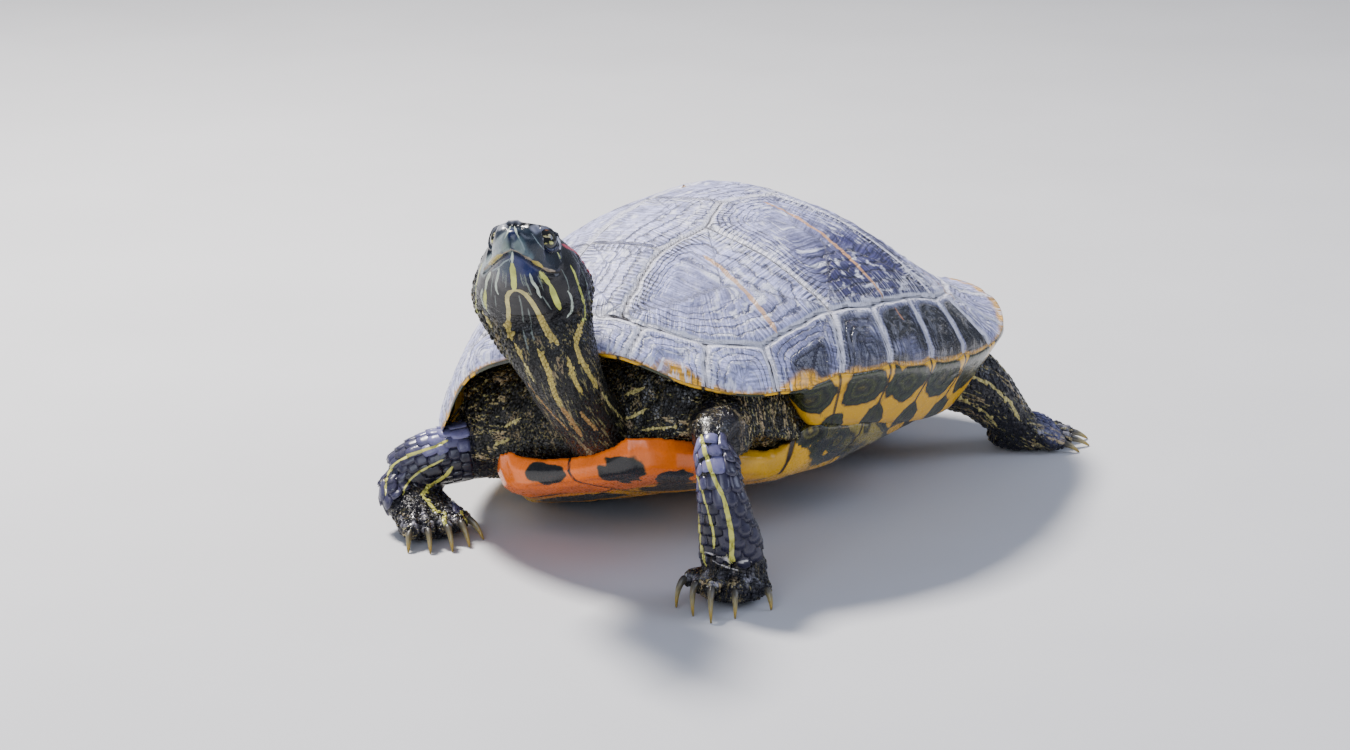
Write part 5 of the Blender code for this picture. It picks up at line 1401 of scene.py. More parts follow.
# Stripes: width in millimetres, colour, and the path over the picture's frame
stripeColours = {
    "yellow": "#c9c65e",
    "lime": "#bfc45c",
    "pale": "#b3bfae",
    "cream": "#c3b672",
    "mint": "#c3cbb0",
    "thin": "#67706a",
    "mist": "#7f8f90",
    "horn": "#8f826e",
    "tan": "#b3a153",
    "white": "#c3c6cf",
    "gold": "#b9a556",
    "tawny": "#a07b45",
    "red": "#b03a4c",
    "crease": "#b9b5b2",
}
stripes = [
    (0.95, "pale", [(512.4, 252.6), (512.2, 257), (512.1, 263)]),
    (1.95, "lime", [(512.2, 264), (512.6, 270), (513.3, 276), (513.8, 284), (513.9, 290)]),
    (1.5, "cream", [(513.9, 290), (509.3, 292.5), (507.1, 296.6), (507.1, 302), (508.4, 309), (508.4, 322)]),
    (1.7, "cream", [(513.9, 290), (520, 291), (525.4, 294.3), (530.7, 300.5), (535.2, 307.7), (545.5, 326)]),
    (0.45, "thin", [(503, 271), (502.8, 282)]),
    (0.45, "thin", [(506.2, 273), (505.7, 287.1)]),
    (1, "pale", [(499, 269.3), (497.7, 276.4), (495.9, 282.7), (495.9, 288.9), (497.7, 293.4)]),
    (1.4, "mint", [(490.4, 272.6), (486.5, 280.9), (485.4, 290)]),
    (1.6, "lime", [(485.4, 290), (484.7, 301.4), (486.1, 308.6)]),
    (0.45, "thin", [(520.4, 274), (521.8, 281), (523.6, 285.4)]),
    (0.55, "thin", [(524.5, 274.5), (526.3, 282.7), (529.4, 289.8), (531.2, 294.3)]),
    (0.95, "pale", [(529.8, 274.2), (532.5, 282), (537, 288), (538.8, 293.5), (540.5, 297)]),
    (0.5, "thin", [(537.9, 277), (541.4, 284.5), (543.2, 289.8)]),
    (1.5, "lime", [(540.1, 272.4), (545.9, 279.1), (550.4, 285.4)]),
    (2, "lime", [(550.4, 285.4), (553, 292.5), (556.6, 301.4), (560.2, 309)]),
    (0.85, "pale", [(568.2, 291.6), (570.9, 296.1), (572.2, 303.2), (571.8, 311.3), (567.3, 316.6)]),
    (1.1, "lime", [(570.9, 266.5), (574.5, 272.9), (578, 283.6), (581.6, 294.3), (584.3, 305), (585.6, 314),
     (582.5, 322)]),
    (0.75, "lime", [(557.5, 251.9), (558.8, 254.5), (560.2, 257.7)]),
    (1.7, "red", [(562.5, 244.8), (570.9, 248.6), (577, 252.8), (583, 259.6), (588, 268.5), (590.6, 276)]),
    (0.75, "pale", [(510.2, 226.6), (507.5, 232.7), (504.8, 238)]),
    (0.6, "mist", [(504.8, 238), (501.6, 244.3), (499.9, 251)]),
    (0.75, "pale", [(514.6, 226.6), (516.4, 232.7), (518.7, 237.4)]),
    (0.6, "mist", [(518.7, 237.4), (521.8, 243.4), (524.5, 249.6)]),
    (0.8, "horn", [(511.6, 249.6), (517, 251.8), (523, 255.4)]),
    (1.5, "horn", [(523, 255.4), (528, 258.4), (532, 261)]),
    (1.9, "tan", [(532, 261), (537, 264), (542, 267.3)]),
    (1.4, "horn", [(542, 267.3), (547.5, 270.6), (554.5, 271.6)]),
    (0.8, "horn", [(511.6, 249.6), (506, 252.2), (501.5, 254.6)]),
    (1.7, "tan", [(501.5, 254.6), (495, 259.2), (489, 264.6)]),
    (0.9, "horn", [(489, 264.6), (484, 270)]),
    (0.45, "mist", [(510.2, 258.6), (503.9, 262.1), (499.5, 266.6), (492.3, 271)]),
    (1.2, "white", [(557.8, 238.2), (560, 242.8), (560.2, 248.4)]),
    (0.35, "mist", [(532, 234), (537.9, 242.5), (544.1, 249.6)]),
    (2.3, "gold", [(508.4, 320), (508, 327), (511.8, 339)]),
    (1.5, "gold", [(515.2, 344.5), (519.6, 353.6), (522.5, 359.5)]),
    (0.9, "cream", [(524.5, 363.5), (530.4, 375), (533.5, 381)]),
    (2.3, "gold", [(539, 314), (544, 325), (550, 335.5), (557.5, 343.5)]),
    (1.9, "gold", [(538.6, 350.5), (543.7, 360.3), (548.4, 371), (551.1, 383), (555.8, 396.4), (561.2, 407.1)]),
    (1.9, "tawny", [(561.2, 407.1), (570.5, 419.2), (577.2, 429.9), (581.2, 436)]),
    (1.5, "gold", [(567.5, 357.5), (571.9, 372.3), (575.9, 383), (582.6, 394)]),
    (1.7, "gold", [(583.5, 321), (577.5, 334), (575.9, 345.5), (579.9, 357.6), (585.3, 367), (597.3, 387.5)]),
    (0.9, "cream", [(601.5, 392.5), (610.7, 405.8), (622.8, 419.2)]),
    (0.7, "tawny", [(527.7, 383), (538.4, 397.8), (551.8, 413.8), (567.9, 429.9)]),
    (1.3, "tawny", [(581.2, 413), (589.3, 423.2), (597.3, 430)]),
    (1.4, "cream", [(627, 393.6), (635, 391.5), (644, 387.8)]),
    (1.1, "cream", [(627, 418.6), (636, 415), (645.5, 409.2)]),
    (1, "cream", [(505, 426.6), (512, 422.5), (520.5, 418.6)]),
    (1.1, "cream", [(495, 445.2), (501, 442.5), (508.5, 440)]),
    (0.55, "thin", [(522.3, 327), (525.5, 341), (529, 352)]),
    (0.55, "thin", [(531, 326), (533.5, 340)]),
    (1.4, "yellow", [(701.2, 436), (705, 451.3), (711.2, 471.2), (717.3, 485), (723.4, 497.3)]),
    (1.5, "yellow", [(723.4, 497.3), (727.2, 514.1), (730.3, 527.9), (731.8, 541.7), (731.1, 563.1)]),
    (0.9, "yellow", [(691.6, 450.1), (695.1, 466.7), (699.7, 483.5), (705, 498.8), (708.1, 509.5)]),
    (0.9, "yellow", [(708.1, 509.5), (711.9, 523.3), (714.2, 535.6), (714.5, 547.8)]),
    (1.5, "yellow", [(696.8, 501.9), (699.7, 517.2), (700.4, 532.5), (702, 547.8), (705.8, 564.6)]),
    (1.1, "yellow", [(448.8, 440.7), (436.3, 446.5), (419.8, 452.3), (407.3, 457.3), (397.4, 463.1)]),
    (1.1, "yellow", [(397.4, 463.1), (391.6, 469.7), (387.4, 478), (386.2, 486.3), (387, 494.6)]),
    (0.7, "yellow", [(444.6, 458.9), (433, 464.7), (419.8, 471.4), (410.6, 478.8), (405.7, 487.1), (403.2, 494.6)]),
    (1.5, "yellow", [(452.1, 467.2), (444.6, 476.3), (434.7, 482.1), (428, 487.1), (422.2, 494.6), (426.4, 500.4)]),
    (1.5, "yellow", [(426.4, 500.4), (431.4, 505.4), (436.3, 511.2), (444.6, 513.6), (443.8, 519.5), (447.1, 529.4)]),
    (1.2, "yellow", [(460.4, 512), (463.7, 517.8), (469.5, 523.6), (473.6, 528.6)]),
    (0.5, "thin", [(493.5, 274), (491.5, 286), (491, 296)]),
    (0.55, "thin", [(519, 296), (521.5, 306), (523.5, 322)]),
    (0.5, "thin", [(528, 309), (531, 322)]),
    (0.5, "thin", [(543, 297), (551, 309)]),
    (0.5, "thin", [(495, 296), (496, 306)]),
    (0.45, "thin", [(562, 270), (567, 280), (569, 288)]),
    (0.45, "thin", [(573, 256), (580, 266), (586, 280), (590, 300)]),
    (1.2, "cream", [(482.6, 312), (489, 322), (493, 330)]),
    (0.8, "cream", [(641, 430.4), (655, 428.4), (676, 427)]),
    (0.7, "crease", [(706.6, 551.6), (721.9, 557), (740, 560), (752.5, 560.8)]),
    (0.6, "crease", [(712.7, 560.8), (728, 567.7), (737, 570)]),
    (1.3, "cream", [(930, 372), (960, 372), (990, 384), (1010, 402), (1020, 420)]),
    (0.9, "cream", [(935, 392), (960, 398), (985, 412), (1000, 430)]),
]


def mirrorOnHead(path):
    local = headLocal(path) * (1, -1, 1)
    moved = local @ headAxes + mouthMiddle
    return np.array([np.array(skinTree.find_nearest(Vector(place * mm))[0]) / mm for place in moved])


def buildMarks():
    marks = []
    for width, name, path in stripes:
        cast = castPath(path)
        if len(cast) < 2:
            continue
        marks.append((width, stripeColours[name], cast))
        local = headLocal(cast)
        # the far side of the head carries the near side's stripes
        if np.all(local[:, 1] > 13.0) and lengthsOf(local).max() < 40:
            marks.append((width, stripeColours[name], mirrorOnHead(cast)))
    return marks


skinMarks = buildMarks()
# soft patches of colour, some of them painted light: path over the picture's frame, reach and blur in millimetres,
# colour, strength
skinPatchesAndPaintedLight = [
    # painted light: the sunlit left flank of the head, pale grey
    ([(503, 240), (496, 250), (488, 261), (482.5, 268.5)], 2.6, 1, "#7d898c", 0.95),
    ([(520, 241), (525, 250), (531, 256)], 1.7, 0.8, "#52656b", 0.9),
    ([(524, 229), (533, 243), (546, 259)], 2.9, 1.1, "#101e2c", 0.95),
    ([(504, 245.5), (506, 250)], 1.9, 0.6, "#7c8a82", 0.85),
    ([(516.5, 245), (520.5, 250)], 1.7, 0.5, "#7c8a86", 0.8),
    ([(512, 228), (512.2, 237.5)], 1.5, 0.5, "#0f1d44", 1),
    ([(511.8, 239), (511.9, 246)], 0.6, 0.4, "#34414a", 0.9),
    # painted highlights: the pale crown round the nostrils and both brows
    ([(508.5, 221.5), (512.5, 220.5), (517.5, 221.5)], 1.2, 0.7, "#8b8c94", 0.8),
    ([(534.5, 229), (539, 226.8), (544.5, 227)], 1.5, 0.7, "#8d90a2", 0.85),
    ([(493, 229.5), (497, 226.5), (502.5, 226)], 1.6, 0.7, "#9fa2ac", 0.85),
    ([(548, 250.2), (553, 250.6), (557, 248.6)], 0.9, 0.5, "#1a2350", 0.9),
    ([(517, 262), (524, 268), (530, 270)], 2.4, 1.2, "#1c2858", 0.8),
    ([(507, 264), (502, 270)], 2, 1, "#1d3444", 0.8),
    # painted sheen on the top of the hind foot
    ([(1026, 398), (1040, 412), (1054, 432)], 5, 2.5, "#4e5078", 0.7),
]
skinPatchesAndPaintedLight = [(castPath(path), *rest) for path, *rest in skinPatchesAndPaintedLight]


def skinBase(points, normals):
    # slow changes of colour over the skin, some of them painted highlights and sheen
    local = headLocal(points)
    f, _, u = local.T
    head = 1 - smooth(lengthsOf(local - (8.0, 0, 4.0)), 26.0, 34.0)
    leg = 1 - smooth(legDistance(points), 13.0, 18.0)
    base = np.tile(colour("#0d0c09"), (len(points), 1))
    mouthAway, _, drop = mouthDistance(points)
    above = smooth(drop, 0.2, 0.8)
    layers = [
        (leg, "#0f0e18"),
        (head, "#0b0b11"),
        (head * above * smooth(f, 1.0, 8.0) * (1 - smooth(u, 5.5, 9.0)), "#141d2a"),
        # lower jaw: dark blue round the chin
        (head * smooth(f, 5.0, 13.0) * (1 - above) * smooth(drop, -9.0, -5.0), "#1a2342"),
    ]
    share, web = digitFields(points)
    # pale rough scales on the digits' tops, lighter where they face up: partly painted highlight
    rough = smooth(noise(points, 1.6, 56) + 0.5 * noise(points, 4.0, 57), -0.1, 0.6)
    layers.append((0.8 * smooth(share, 0.4, 0.7) * (1 - web) * rough * smooth(normals[:, 2], -0.1, 0.5), "#9a98a2"))
    for path, reach, blur, code, strength in skinPatchesAndPaintedLight:
        away = pathDistance(points, path)[0] + 0.35 * noise(points, 1.7, 58)
        layers.append((strength * (1 - smooth(away, reach - blur, reach + blur)), code))
    layers.append((head * bell(mouthAway, 0.5), "#160f0a"))
    for part, code in layers:
        base = laidOver(base, code, part)
    for side in (-1, 1):
        # the lids' edge is dark round the ball
        gaze, gap, spread = lidFields(points, side)
        rim = bell(spread - 1.1, 0.2) * (gap @ gaze > 1.0) * (lengthsOf(gap) < 8.5)
        base = laidOver(base, headLook["lidEdge"], 0.85 * rim)
    return base


def streakShare(points, owner):
    # how strongly cream streaks cover the skin: none on the face and the lower legs
    share = smooth(faceDistance(points), 30.0, 37.0)
    for name in ("foreLeft", "foreRight"):
        share *= smooth(pathDistance(points, limbPaths[name])[0], 9.0, 15.0) * 0.85 + 0.15
    return share * np.array([0.55, 1.0, 1.0, 0.9, 0.9])[owner]


def writeFlow(piece, flow, share):
    attribute = piece.data.attributes.new("flow", "FLOAT_VECTOR", "POINT")
    attribute.data.foreach_set("vector", np.asarray(flow, np.float32).ravel())
    writeValue(piece, "streakShare", share)


def streakNodes(add):
    # cream streaks about 0.7 mm wide and 7 mm long, in loose clusters; gives their factor and colour
    flow = add("Attribute", attribute_name="flow").outputs["Vector"]
    share = add("Attribute", attribute_name="streakShare").outputs["Fac"]
    fine = add("TexNoise", {"Vector": flow, "Scale": 1.35, "Detail": 2.0, "Roughness": 0.55})
    wide = add("TexNoise", {"Vector": flow, "Scale": 0.26, "Detail": 1.0})
    total = add("Math", (wide, 0.55, fine), operation="MULTIPLY_ADD")
    cut = add("MapRange", (total, 0.85, 0.91, 0.0, 0.9), **eased)
    factor = add("Math", (cut, share), operation="MULTIPLY")
    tint = add("ValToRGB", (wide,))
    fillRamp(tint, [(0.3, "#77763e"), (0.5, "#a29a62"), (0.7, "#b09a74")])
    return factor.outputs[0], tint.outputs[0]


def paintSkin(piece):
    points = readPoints(piece)
    normals = readNormals(piece)
    writeMarks(piece, markFields(points, normals, skinMarks))
    writeColour(piece, "skinColour", skinBase(points, normals))
    local = headLocal(points)
    onFace = 1 - smooth(lengthsOf(local - (10.0, 0, 4.0)), 22.0, 30.0)
    writeValue(piece, "face", onFace)
    flow, owner = flowPlace(points)
    writeFlow(piece, flow, streakShare(points, owner))


def wetSkin():
    # dark reptile skin, damp and glossy, with fine granules about 1 mm across
    material, shader, add, place = newMaterial("stripedSkin")
    paint = add("Attribute", attribute_name="skinColour").outputs["Color"]
    face = add("Attribute", attribute_name="face").outputs["Fac"]
    cells = add("TexVoronoi", {"Vector": place, "Scale": 780.0}, feature="DISTANCE_TO_EDGE")
    soft = add("TexNoise", {"Vector": place, "Scale": 260.0, "Detail": 4.0})
    groove = add("MapRange", (cells, 0.0, 0.14, 0.0, 1.0), **eased)
    streak, streakColour = streakNodes(add)
    flecked = add("Mix", {0: streak, 6: paint, 7: streakColour}, data_type="RGBA")
    stripe, stripeColour = markNodes(add, 0.35, 700.0)
    striped = add("Mix", {0: stripe, 6: flecked, 7: stripeColour}, data_type="RGBA")
    depth = add("Mix", {0: face, 2: groove, 3: 1.0}, data_type="FLOAT")
    shade = add("MapRange", (depth, 0.0, 1.0, 0.45, 1.0))
    cloud = add("MapRange", (soft, 0.3, 0.7, 0.75, 1.25))
    tone = add("Math", (shade, cloud), operation="MULTIPLY")
    whole = add("VectorMath", {0: striped, "Scale": tone}, operation="SCALE")
    damp = add("MapRange", (soft, 0.3, 0.7, 0.2, 0.33))
    grain = add("Mix", {0: face, 2: groove, 3: soft}, data_type="FLOAT")
    bump = add("Bump", {"Strength": 0.8, "Distance": 0.22 * mm, "Height": grain})
    connect(shader, {"Base Color": whole, "Roughness": damp, "IOR": 1.45, "Normal": bump})
    return material


paintSkin(skin)
skin.data.materials.append(wetSkin())
finishPiece(skin, "striped_skin", *skinLook["nodes"])
print("skin painted")


# Scales: overlapping plates round the forelegs and small raised granules over the rest of the loose skin
scaleLook = {
    "rowPitch": 3.4,
    "legs": {
        # start and end of the plates along the leg, direction of the first column, columns, rise of the plates
        "foreLeft": (7.0, 47.0, (0.87, -0.5, 0.0), 11, 0.5),
        "foreRight": (8.0, 44.0, (-0.6, -0.6, 0.5), 14, 0.34),
    },
    "granulePitch": {"neck": 1.25, "arm": 1.6, "leg": 2.2},
    "granuleRise": 0.34,
    "granuleSides": 6,
    "patch": 0.0015,  # half the breadth of a scale's patch on the unwrap
}


def newUnwrap(piece, places):
    # a patch about 0.003 across for each scale, at its root's place on the unwrap
    layer = piece.data.uv_layers.new(name="OFBake")
    loops = np.empty(len(piece.data.loops), np.int64)
    piece.data.loops.foreach_get("vertex_index", loops)
    layer.data.foreach_set("uv", places[loops].ravel())


def gridPlate(size=4):
    # points of a rounded plate, -1 to 1 across and down, then its skirt, with their faces
    steps = np.linspace(-1, 1, size + 1)
    v, u = np.meshgrid(steps, steps, indexing="ij")
    across, down = u * np.sqrt(1 - 0.28 * v**2), v * np.sqrt(1 - 0.34 * u**2)
    top = np.stack([across.ravel(), down.ravel()], axis=-1)
    n = size + 1
    starts = [i * n + k for i in range(size) for k in range(size)]
    quads = [[k, k + 1, k + n + 1, k + n] for k in starts]
    ring = [k for k in range(n)] + [i * n + size for i in range(1, n)]
    ring += [size * n + k for k in range(size - 1, -1, -1)] + [i * n for i in range(size - 1, 0, -1)]
    skirt = [len(top) + k for k in range(len(ring))]
    for k in range(len(ring)):
        m = (k + 1) % len(ring)
        quads.append([ring[m], ring[k], skirt[k], skirt[m]])
    quads.append(skirt)
    return top, ring, quads


def legFrame(path, along):
    # middle, downward direction of a limb at a length along its path
    curve = smoothPath(path, 6)
    reach = pathReach(curve)
    spots = (along, along + 1.5, along - 1.5)
    place, ahead, behind = (np.array([np.interp(spot, reach, curve[:, k]) for k in range(3)]) for spot in spots)
    return place, unit(ahead - behind)


def buildPlates():
    top, ring, quads = gridPlate()
    points, faces, places, shares, roots, dryAndSheenShares = [], [], [], [], [], []
    draw = np.random.default_rng(7)
    for number, (limb, (start, end, first, columns, plateRise)) in enumerate(scaleLook["legs"].items()):
        rows = int((end - start) / scaleLook["rowPitch"])
        for row in range(rows):
            along = start + row * scaleLook["rowPitch"]
            middle, down = legFrame(limbPaths[limb], along)
            first = np.array(first, float)
            across = unit(first - down * (first @ down))
            side = np.cross(down, across)
            for column in range(columns):
                angle = 2 * pi * (column + 0.5 * (row % 2) + draw.uniform(-0.1, 0.1)) / columns
                out = across * cos(angle) + side * sin(angle)
                hit, normal, _, far = skinTree.ray_cast(Vector((middle + out * 26) * mm), Vector(-out))
                if hit is None or far > 0.024:
                    continue
                root, normal = np.array(hit) / mm, np.array(normal)
                edge = smooth(np.array([cos(angle)]), 0.55, 0.95)[0]
                width = 2 * pi * np.linalg.norm(root - middle) / columns * 0.53 * draw.uniform(0.92, 1.05)
                length = scaleLook["rowPitch"] * (0.66 + 0.4 * edge) * draw.uniform(0.92, 1.08)
                flow = unit(down - normal * (down @ normal))
                cross = np.cross(flow, normal)
                base = len(points)
                rise = plateRise * (1 + 2.4 * edge) * draw.uniform(0.85, 1.15)
                made, under = [], []
                for u, v in top:
                    spot = root + cross * u * width + flow * (v * length + 0.9 * edge * v)
                    near, square, _, _ = skinTree.find_nearest(Vector(spot * mm))
                    square = np.array(square)
                    crown = 0.22 * (1 - min(1.0, u * u + v * v))
                    height = 0.05 + rise * (v * 0.5 + 0.5) ** 1.3 * (1 - 0.25 * u * u) + crown
                    made.append(np.array(near) / mm + square * height)
                    under.append(np.array(near) / mm)
                made = np.array(made)
                made[:, 2] = np.maximum(made[:, 2], 0.1)
                below = made[ring] - normal * 0.9 - (made[ring] - root) * 0.12
                below[:, 2] = np.maximum(below[:, 2], 0.05)
                points += [*made, *below]
                roots += [*under, *np.array(under)[ring]]
                # painted sheen over dry horn: lavender on the plates that face up, most near the elbow
                facing = smooth(normal @ (-0.45, -0.25, 0.85), 0.1, 0.75)
                high = 1 - smooth(along, 8.0, 30.0) if limb == "foreLeft" else 1 - smooth(along, 14.0, 24.0)
                dry = (0.12 + 0.88 * high) * facing + 0.1 * edge
                dryAndSheenShares += [min(dry * draw.uniform(0.6, 1.1), 1.0)] * len([*made, *below])
                faces += [[base + k for k in quad] for quad in quads]
                local = np.vstack([top, top[ring]])
                corner = np.array([0.1 + number * 0.4 + angle / (2 * pi) * 0.3, 0.1 + along / 60 * 0.3])
                places += (corner + local * scaleLook["patch"]).tolist()
                shares += [*np.maximum(np.abs(top[:, 0]), np.abs(top[:, 1])), *np.ones(len(ring))]
    piece = newPiece("forelegPlates", points, faces)
    newUnwrap(piece, np.array(places))
    points, normals = np.array(points), readNormals(piece)
    writeMarks(piece, markFields(np.array(roots), normals, skinMarks))
    writeValue(piece, "rim", shares)
    writeValue(piece, "dry", dryAndSheenShares)
    print("plates:", len(faces), "faces")
    return piece


def plateHorn():
    # thin horn plates with worn pale edges: violet-black and glossy, with a painted lavender sheen over dry horn on
    # the plates that face up
    material, shader, add, place = newMaterial("plateHorn")
    rim = add("Attribute", attribute_name="rim").outputs["Fac"]
    soft = add("TexNoise", {"Vector": place, "Scale": 420.0, "Detail": 4.0})
    fine = add("TexNoise", {"Vector": place, "Scale": 2200.0, "Detail": 2.0})
    body = add("Mix", {0: soft, 6: "#08070e", 7: "#1c1a2e"}, data_type="RGBA")
    # lavender: painted sheen over dry horn
    dry = add("Attribute", attribute_name="dry").outputs["Fac"]
    body = add("Mix", {0: dry, 6: body, 7: "#7a78a4"}, data_type="RGBA")
    stripe, stripeColour = markNodes(add, 0.3, 700.0)
    striped = add("Mix", {0: stripe, 6: body, 7: stripeColour}, data_type="RGBA")
    worn = add("Math", (soft, 0.3, rim), operation="MULTIPLY_ADD")
    edge = add("MapRange", (worn, 1.06, 1.2, 0.0, 0.45), **eased)
    whole = add("Mix", {0: edge, 6: striped, 7: "#77748a"}, data_type="RGBA")
    rough = add("MapRange", (soft, 0.3, 0.7, 0.22, 0.38))
    bump = add("Bump", {"Strength": 0.3, "Distance": 0.1 * mm, "Height": fine})
    connect(shader, {"Base Color": whole, "Roughness": rough, "IOR": 1.54, "Normal": bump})
    return material


plates = buildPlates()
plates.data.materials.append(plateHorn())
finishPiece(plates, "striped_skin")


def granuleSeeds(points, pitch, seed):
    # scattered places at least a pitch apart
    order = np.random.default_rng(seed).permutation(len(points))
    taken = {}
    kept = []
    for index in order:
        reach = pitch[index]
        if reach <= 0:
            continue
        cell = tuple((points[index] // 2.5).astype(int))
        clear = True
        for dx in (-1, 0, 1):
            for dy in (-1, 0, 1):
                for dz in (-1, 0, 1):
                    for other in taken.get((cell[0] + dx, cell[1] + dy, cell[2] + dz), ()):
                        if np.sum((points[other] - points[index]) ** 2) < reach * reach:
                            clear = False
                            break
        if clear:
            taken.setdefault(cell, []).append(index)
            kept.append(index)
    return np.array(kept)


def granulePitch(points):
    # spacing of the granules over the skin; nothing on the face, under the plates or inside the shell
    pitch = np.full(len(points), scaleLook["granulePitch"]["arm"])
    pitch[neckPlace(points)[0] < skinLook["neckRadius"]] = scaleLook["granulePitch"]["neck"]
    for limb in ("hindLeft", "hindRight"):
        pitch[pathDistance(points, limbPaths[limb])[0] < 15] = scaleLook["granulePitch"]["leg"]
    for limb, (start, end, *_) in scaleLook["legs"].items():
        away, along = pathDistance(points, smoothPath(limbPaths[limb], 6))
        pitch[(away < 15) & (along > start - 8) & (along < end)] = 0
    pitch[(faceDistance(points) < 31) | underShell(points) | (points[:, 2] < 1.2)] = 0
    return pitch


def buildGranules():
    points, normals = readPoints(skin), readNormals(skin)
    pitch = granulePitch(points)
    kept = granuleSeeds(points, pitch, 5)
    draw = np.random.default_rng(9)
    sides = scaleLook["granuleSides"]
    centre = points[kept]
    square = normals[kept]
    size = pitch[kept] * draw.uniform(0.44, 0.56, len(kept))
    lie = np.array([0.05, -0.3, 1.0])
    flow = lie - square * (square @ lie)[:, None]
    flow /= lengthsOf(flow)[:, None]
    cross = np.cross(square, flow)
    layers = [(1.0, -0.25), (0.7, 0.7)]
    farOut = 0.25 + 0.75 * smooth(faceDistance(centre), 30.0, 40.0)
    onNeck = 1 - smooth(neckPlace(centre)[0], 16.0, 20.0)
    rise = scaleLook["granuleRise"] * size / 0.65 * farOut * (1 - 0.5 * onNeck)
    for limb in ("hindLeft", "hindRight"):
        rise *= 0.55 + 0.45 * smooth(pathDistance(centre, limbPaths[limb])[0], 14.0, 20.0)
    made = []
    turn = draw.uniform(0, 2 * pi, len(kept))
    for share, height in layers:
        for k in range(sides):
            angle = turn + 2 * pi * k / sides
            out = flow * np.cos(angle)[:, None] * 1.25 + cross * np.sin(angle)[:, None] * 0.82
            made.append(centre + out * (size * share)[:, None] + square * (rise * height)[:, None])
    made.append(centre + square * (rise * 1.05)[:, None])
    made = np.stack(made, axis=1)
    each = made.shape[1]
    quads = [[k, (k + 1) % sides, sides + (k + 1) % sides, sides + k] for k in range(sides)]
    quads += [[sides + k, sides + (k + 1) % sides, 2 * sides] for k in range(sides)]
    quads.append(list(range(sides))[::-1])
    faces = [[base * each + k for k in quad] for base in range(len(kept)) for quad in quads]
    made = made.reshape(-1, 3)
    made[:, 2] = np.maximum(made[:, 2], 0.05)
    piece = newPiece("granules", made, faces)
    shape = bmesh.new()
    shape.from_mesh(piece.data)
    bmesh.ops.recalc_face_normals(shape, faces=shape.faces)
    shape.to_mesh(piece.data)
    shape.free()
    # the unwrap: direction and height round the middle of the body
    turned = np.arctan2(centre[:, 0], -centre[:, 1]) / (2 * pi) * 0.9 + 0.5
    unwrap = np.stack([turned, 0.05 + centre[:, 2] / 140 * 0.9], axis=-1)
    fan = np.arange(each) * 1.05
    spread = np.stack([np.cos(fan), np.sin(fan)], axis=-1) * scaleLook["patch"]
    newUnwrap(piece, (unwrap[:, None, :] + spread[None]).reshape(-1, 2))
    # one colour for each granule, from the skin's marks under it
    marks = markFields(centre, square, skinMarks)
    base = skinBase(centre, square)
    base *= draw.uniform(0.7, 1.5, len(kept))[:, None]
    on = np.abs(marks["offset"]) + draw.uniform(-0.25, 0.25, len(kept)) < marks["width"] / 2 + 0.12
    base[on] = marks["colour"][on] * draw.uniform(0.7, 1.05, on.sum())[:, None]
    writeColour(piece, "skinColour", np.repeat(base, each, axis=0))
    flow, owner = flowPlace(made)
    writeFlow(piece, flow, np.where(np.repeat(on, each), 0, streakShare(made, owner)))
    print("granules:", len(kept), "with", len(faces), "faces")
    return piece


def granuleSkin():
    # small beads of horny skin: each one dark or cream, with a wet highlight
    material, shader, add, place = newMaterial("granuleSkin")
    paint = add("Attribute", attribute_name="skinColour").outputs["Color"]
    fine = add("TexNoise", {"Vector": place, "Scale": 1800.0, "Detail": 2.0})
    tone = add("MapRange", (fine, 0.3, 0.7, 0.75, 1.25))
    streak, streakColour = streakNodes(add)
    streaked = add("Mix", {0: streak, 6: paint, 7: streakColour}, data_type="RGBA")
    whole = add("VectorMath", {0: streaked, "Scale": tone}, operation="SCALE")
    rough = add("MapRange", (fine, 0.3, 0.7, 0.28, 0.46))
    bump = add("Bump", {"Strength": 0.3, "Distance": 0.1 * mm, "Height": fine})
    connect(shader, {"Base Color": whole, "Roughness": rough, "IOR": 1.45, "Normal": bump})
    return material


granules = buildGranules()
granules.data.materials.append(granuleSkin())
finishPiece(granules, "striped_skin")


# Plastron: the lower shell with its upturned front lip and the bridges to the margin
plastronLook = {
    "voxel": 1.0,
    "seams": [-88.0, -64.0, -30.0, 28.0, 68.0],
    "front": -111.0,
    "rear": 99.0,
    # dark eyes on the bridge over the picture's frame, with their radius in millimetres
    "bridgeEyes": [((810.5, 430.3), 7.5), ((838.0, 440.0), 5.5), ((847.0, 417.5), 6.0)],
    "bridgeBand": [(779.0, 408.0), (788.0, 424.0), (797.0, 440.0), (806.0, 452.0), (806.0, 466.0)],
    "lipBlotches": [((544.9, 473.5), (8.0, 3.8)), ((622.6, 470.0), (8.4, 5.2)), ((675.0, 480.0), (7.0, 3.6))],
    # how far the bridge rises to meet the margin, along the shell
    "wingRise": ([-74, -70, -66, -62, -54, -46, -38, -30, -22, -8], [0, 5.0, 11.0, 10.0, 5.4, 4.4, 3.6, 2.8, 1.6, 0]),
}


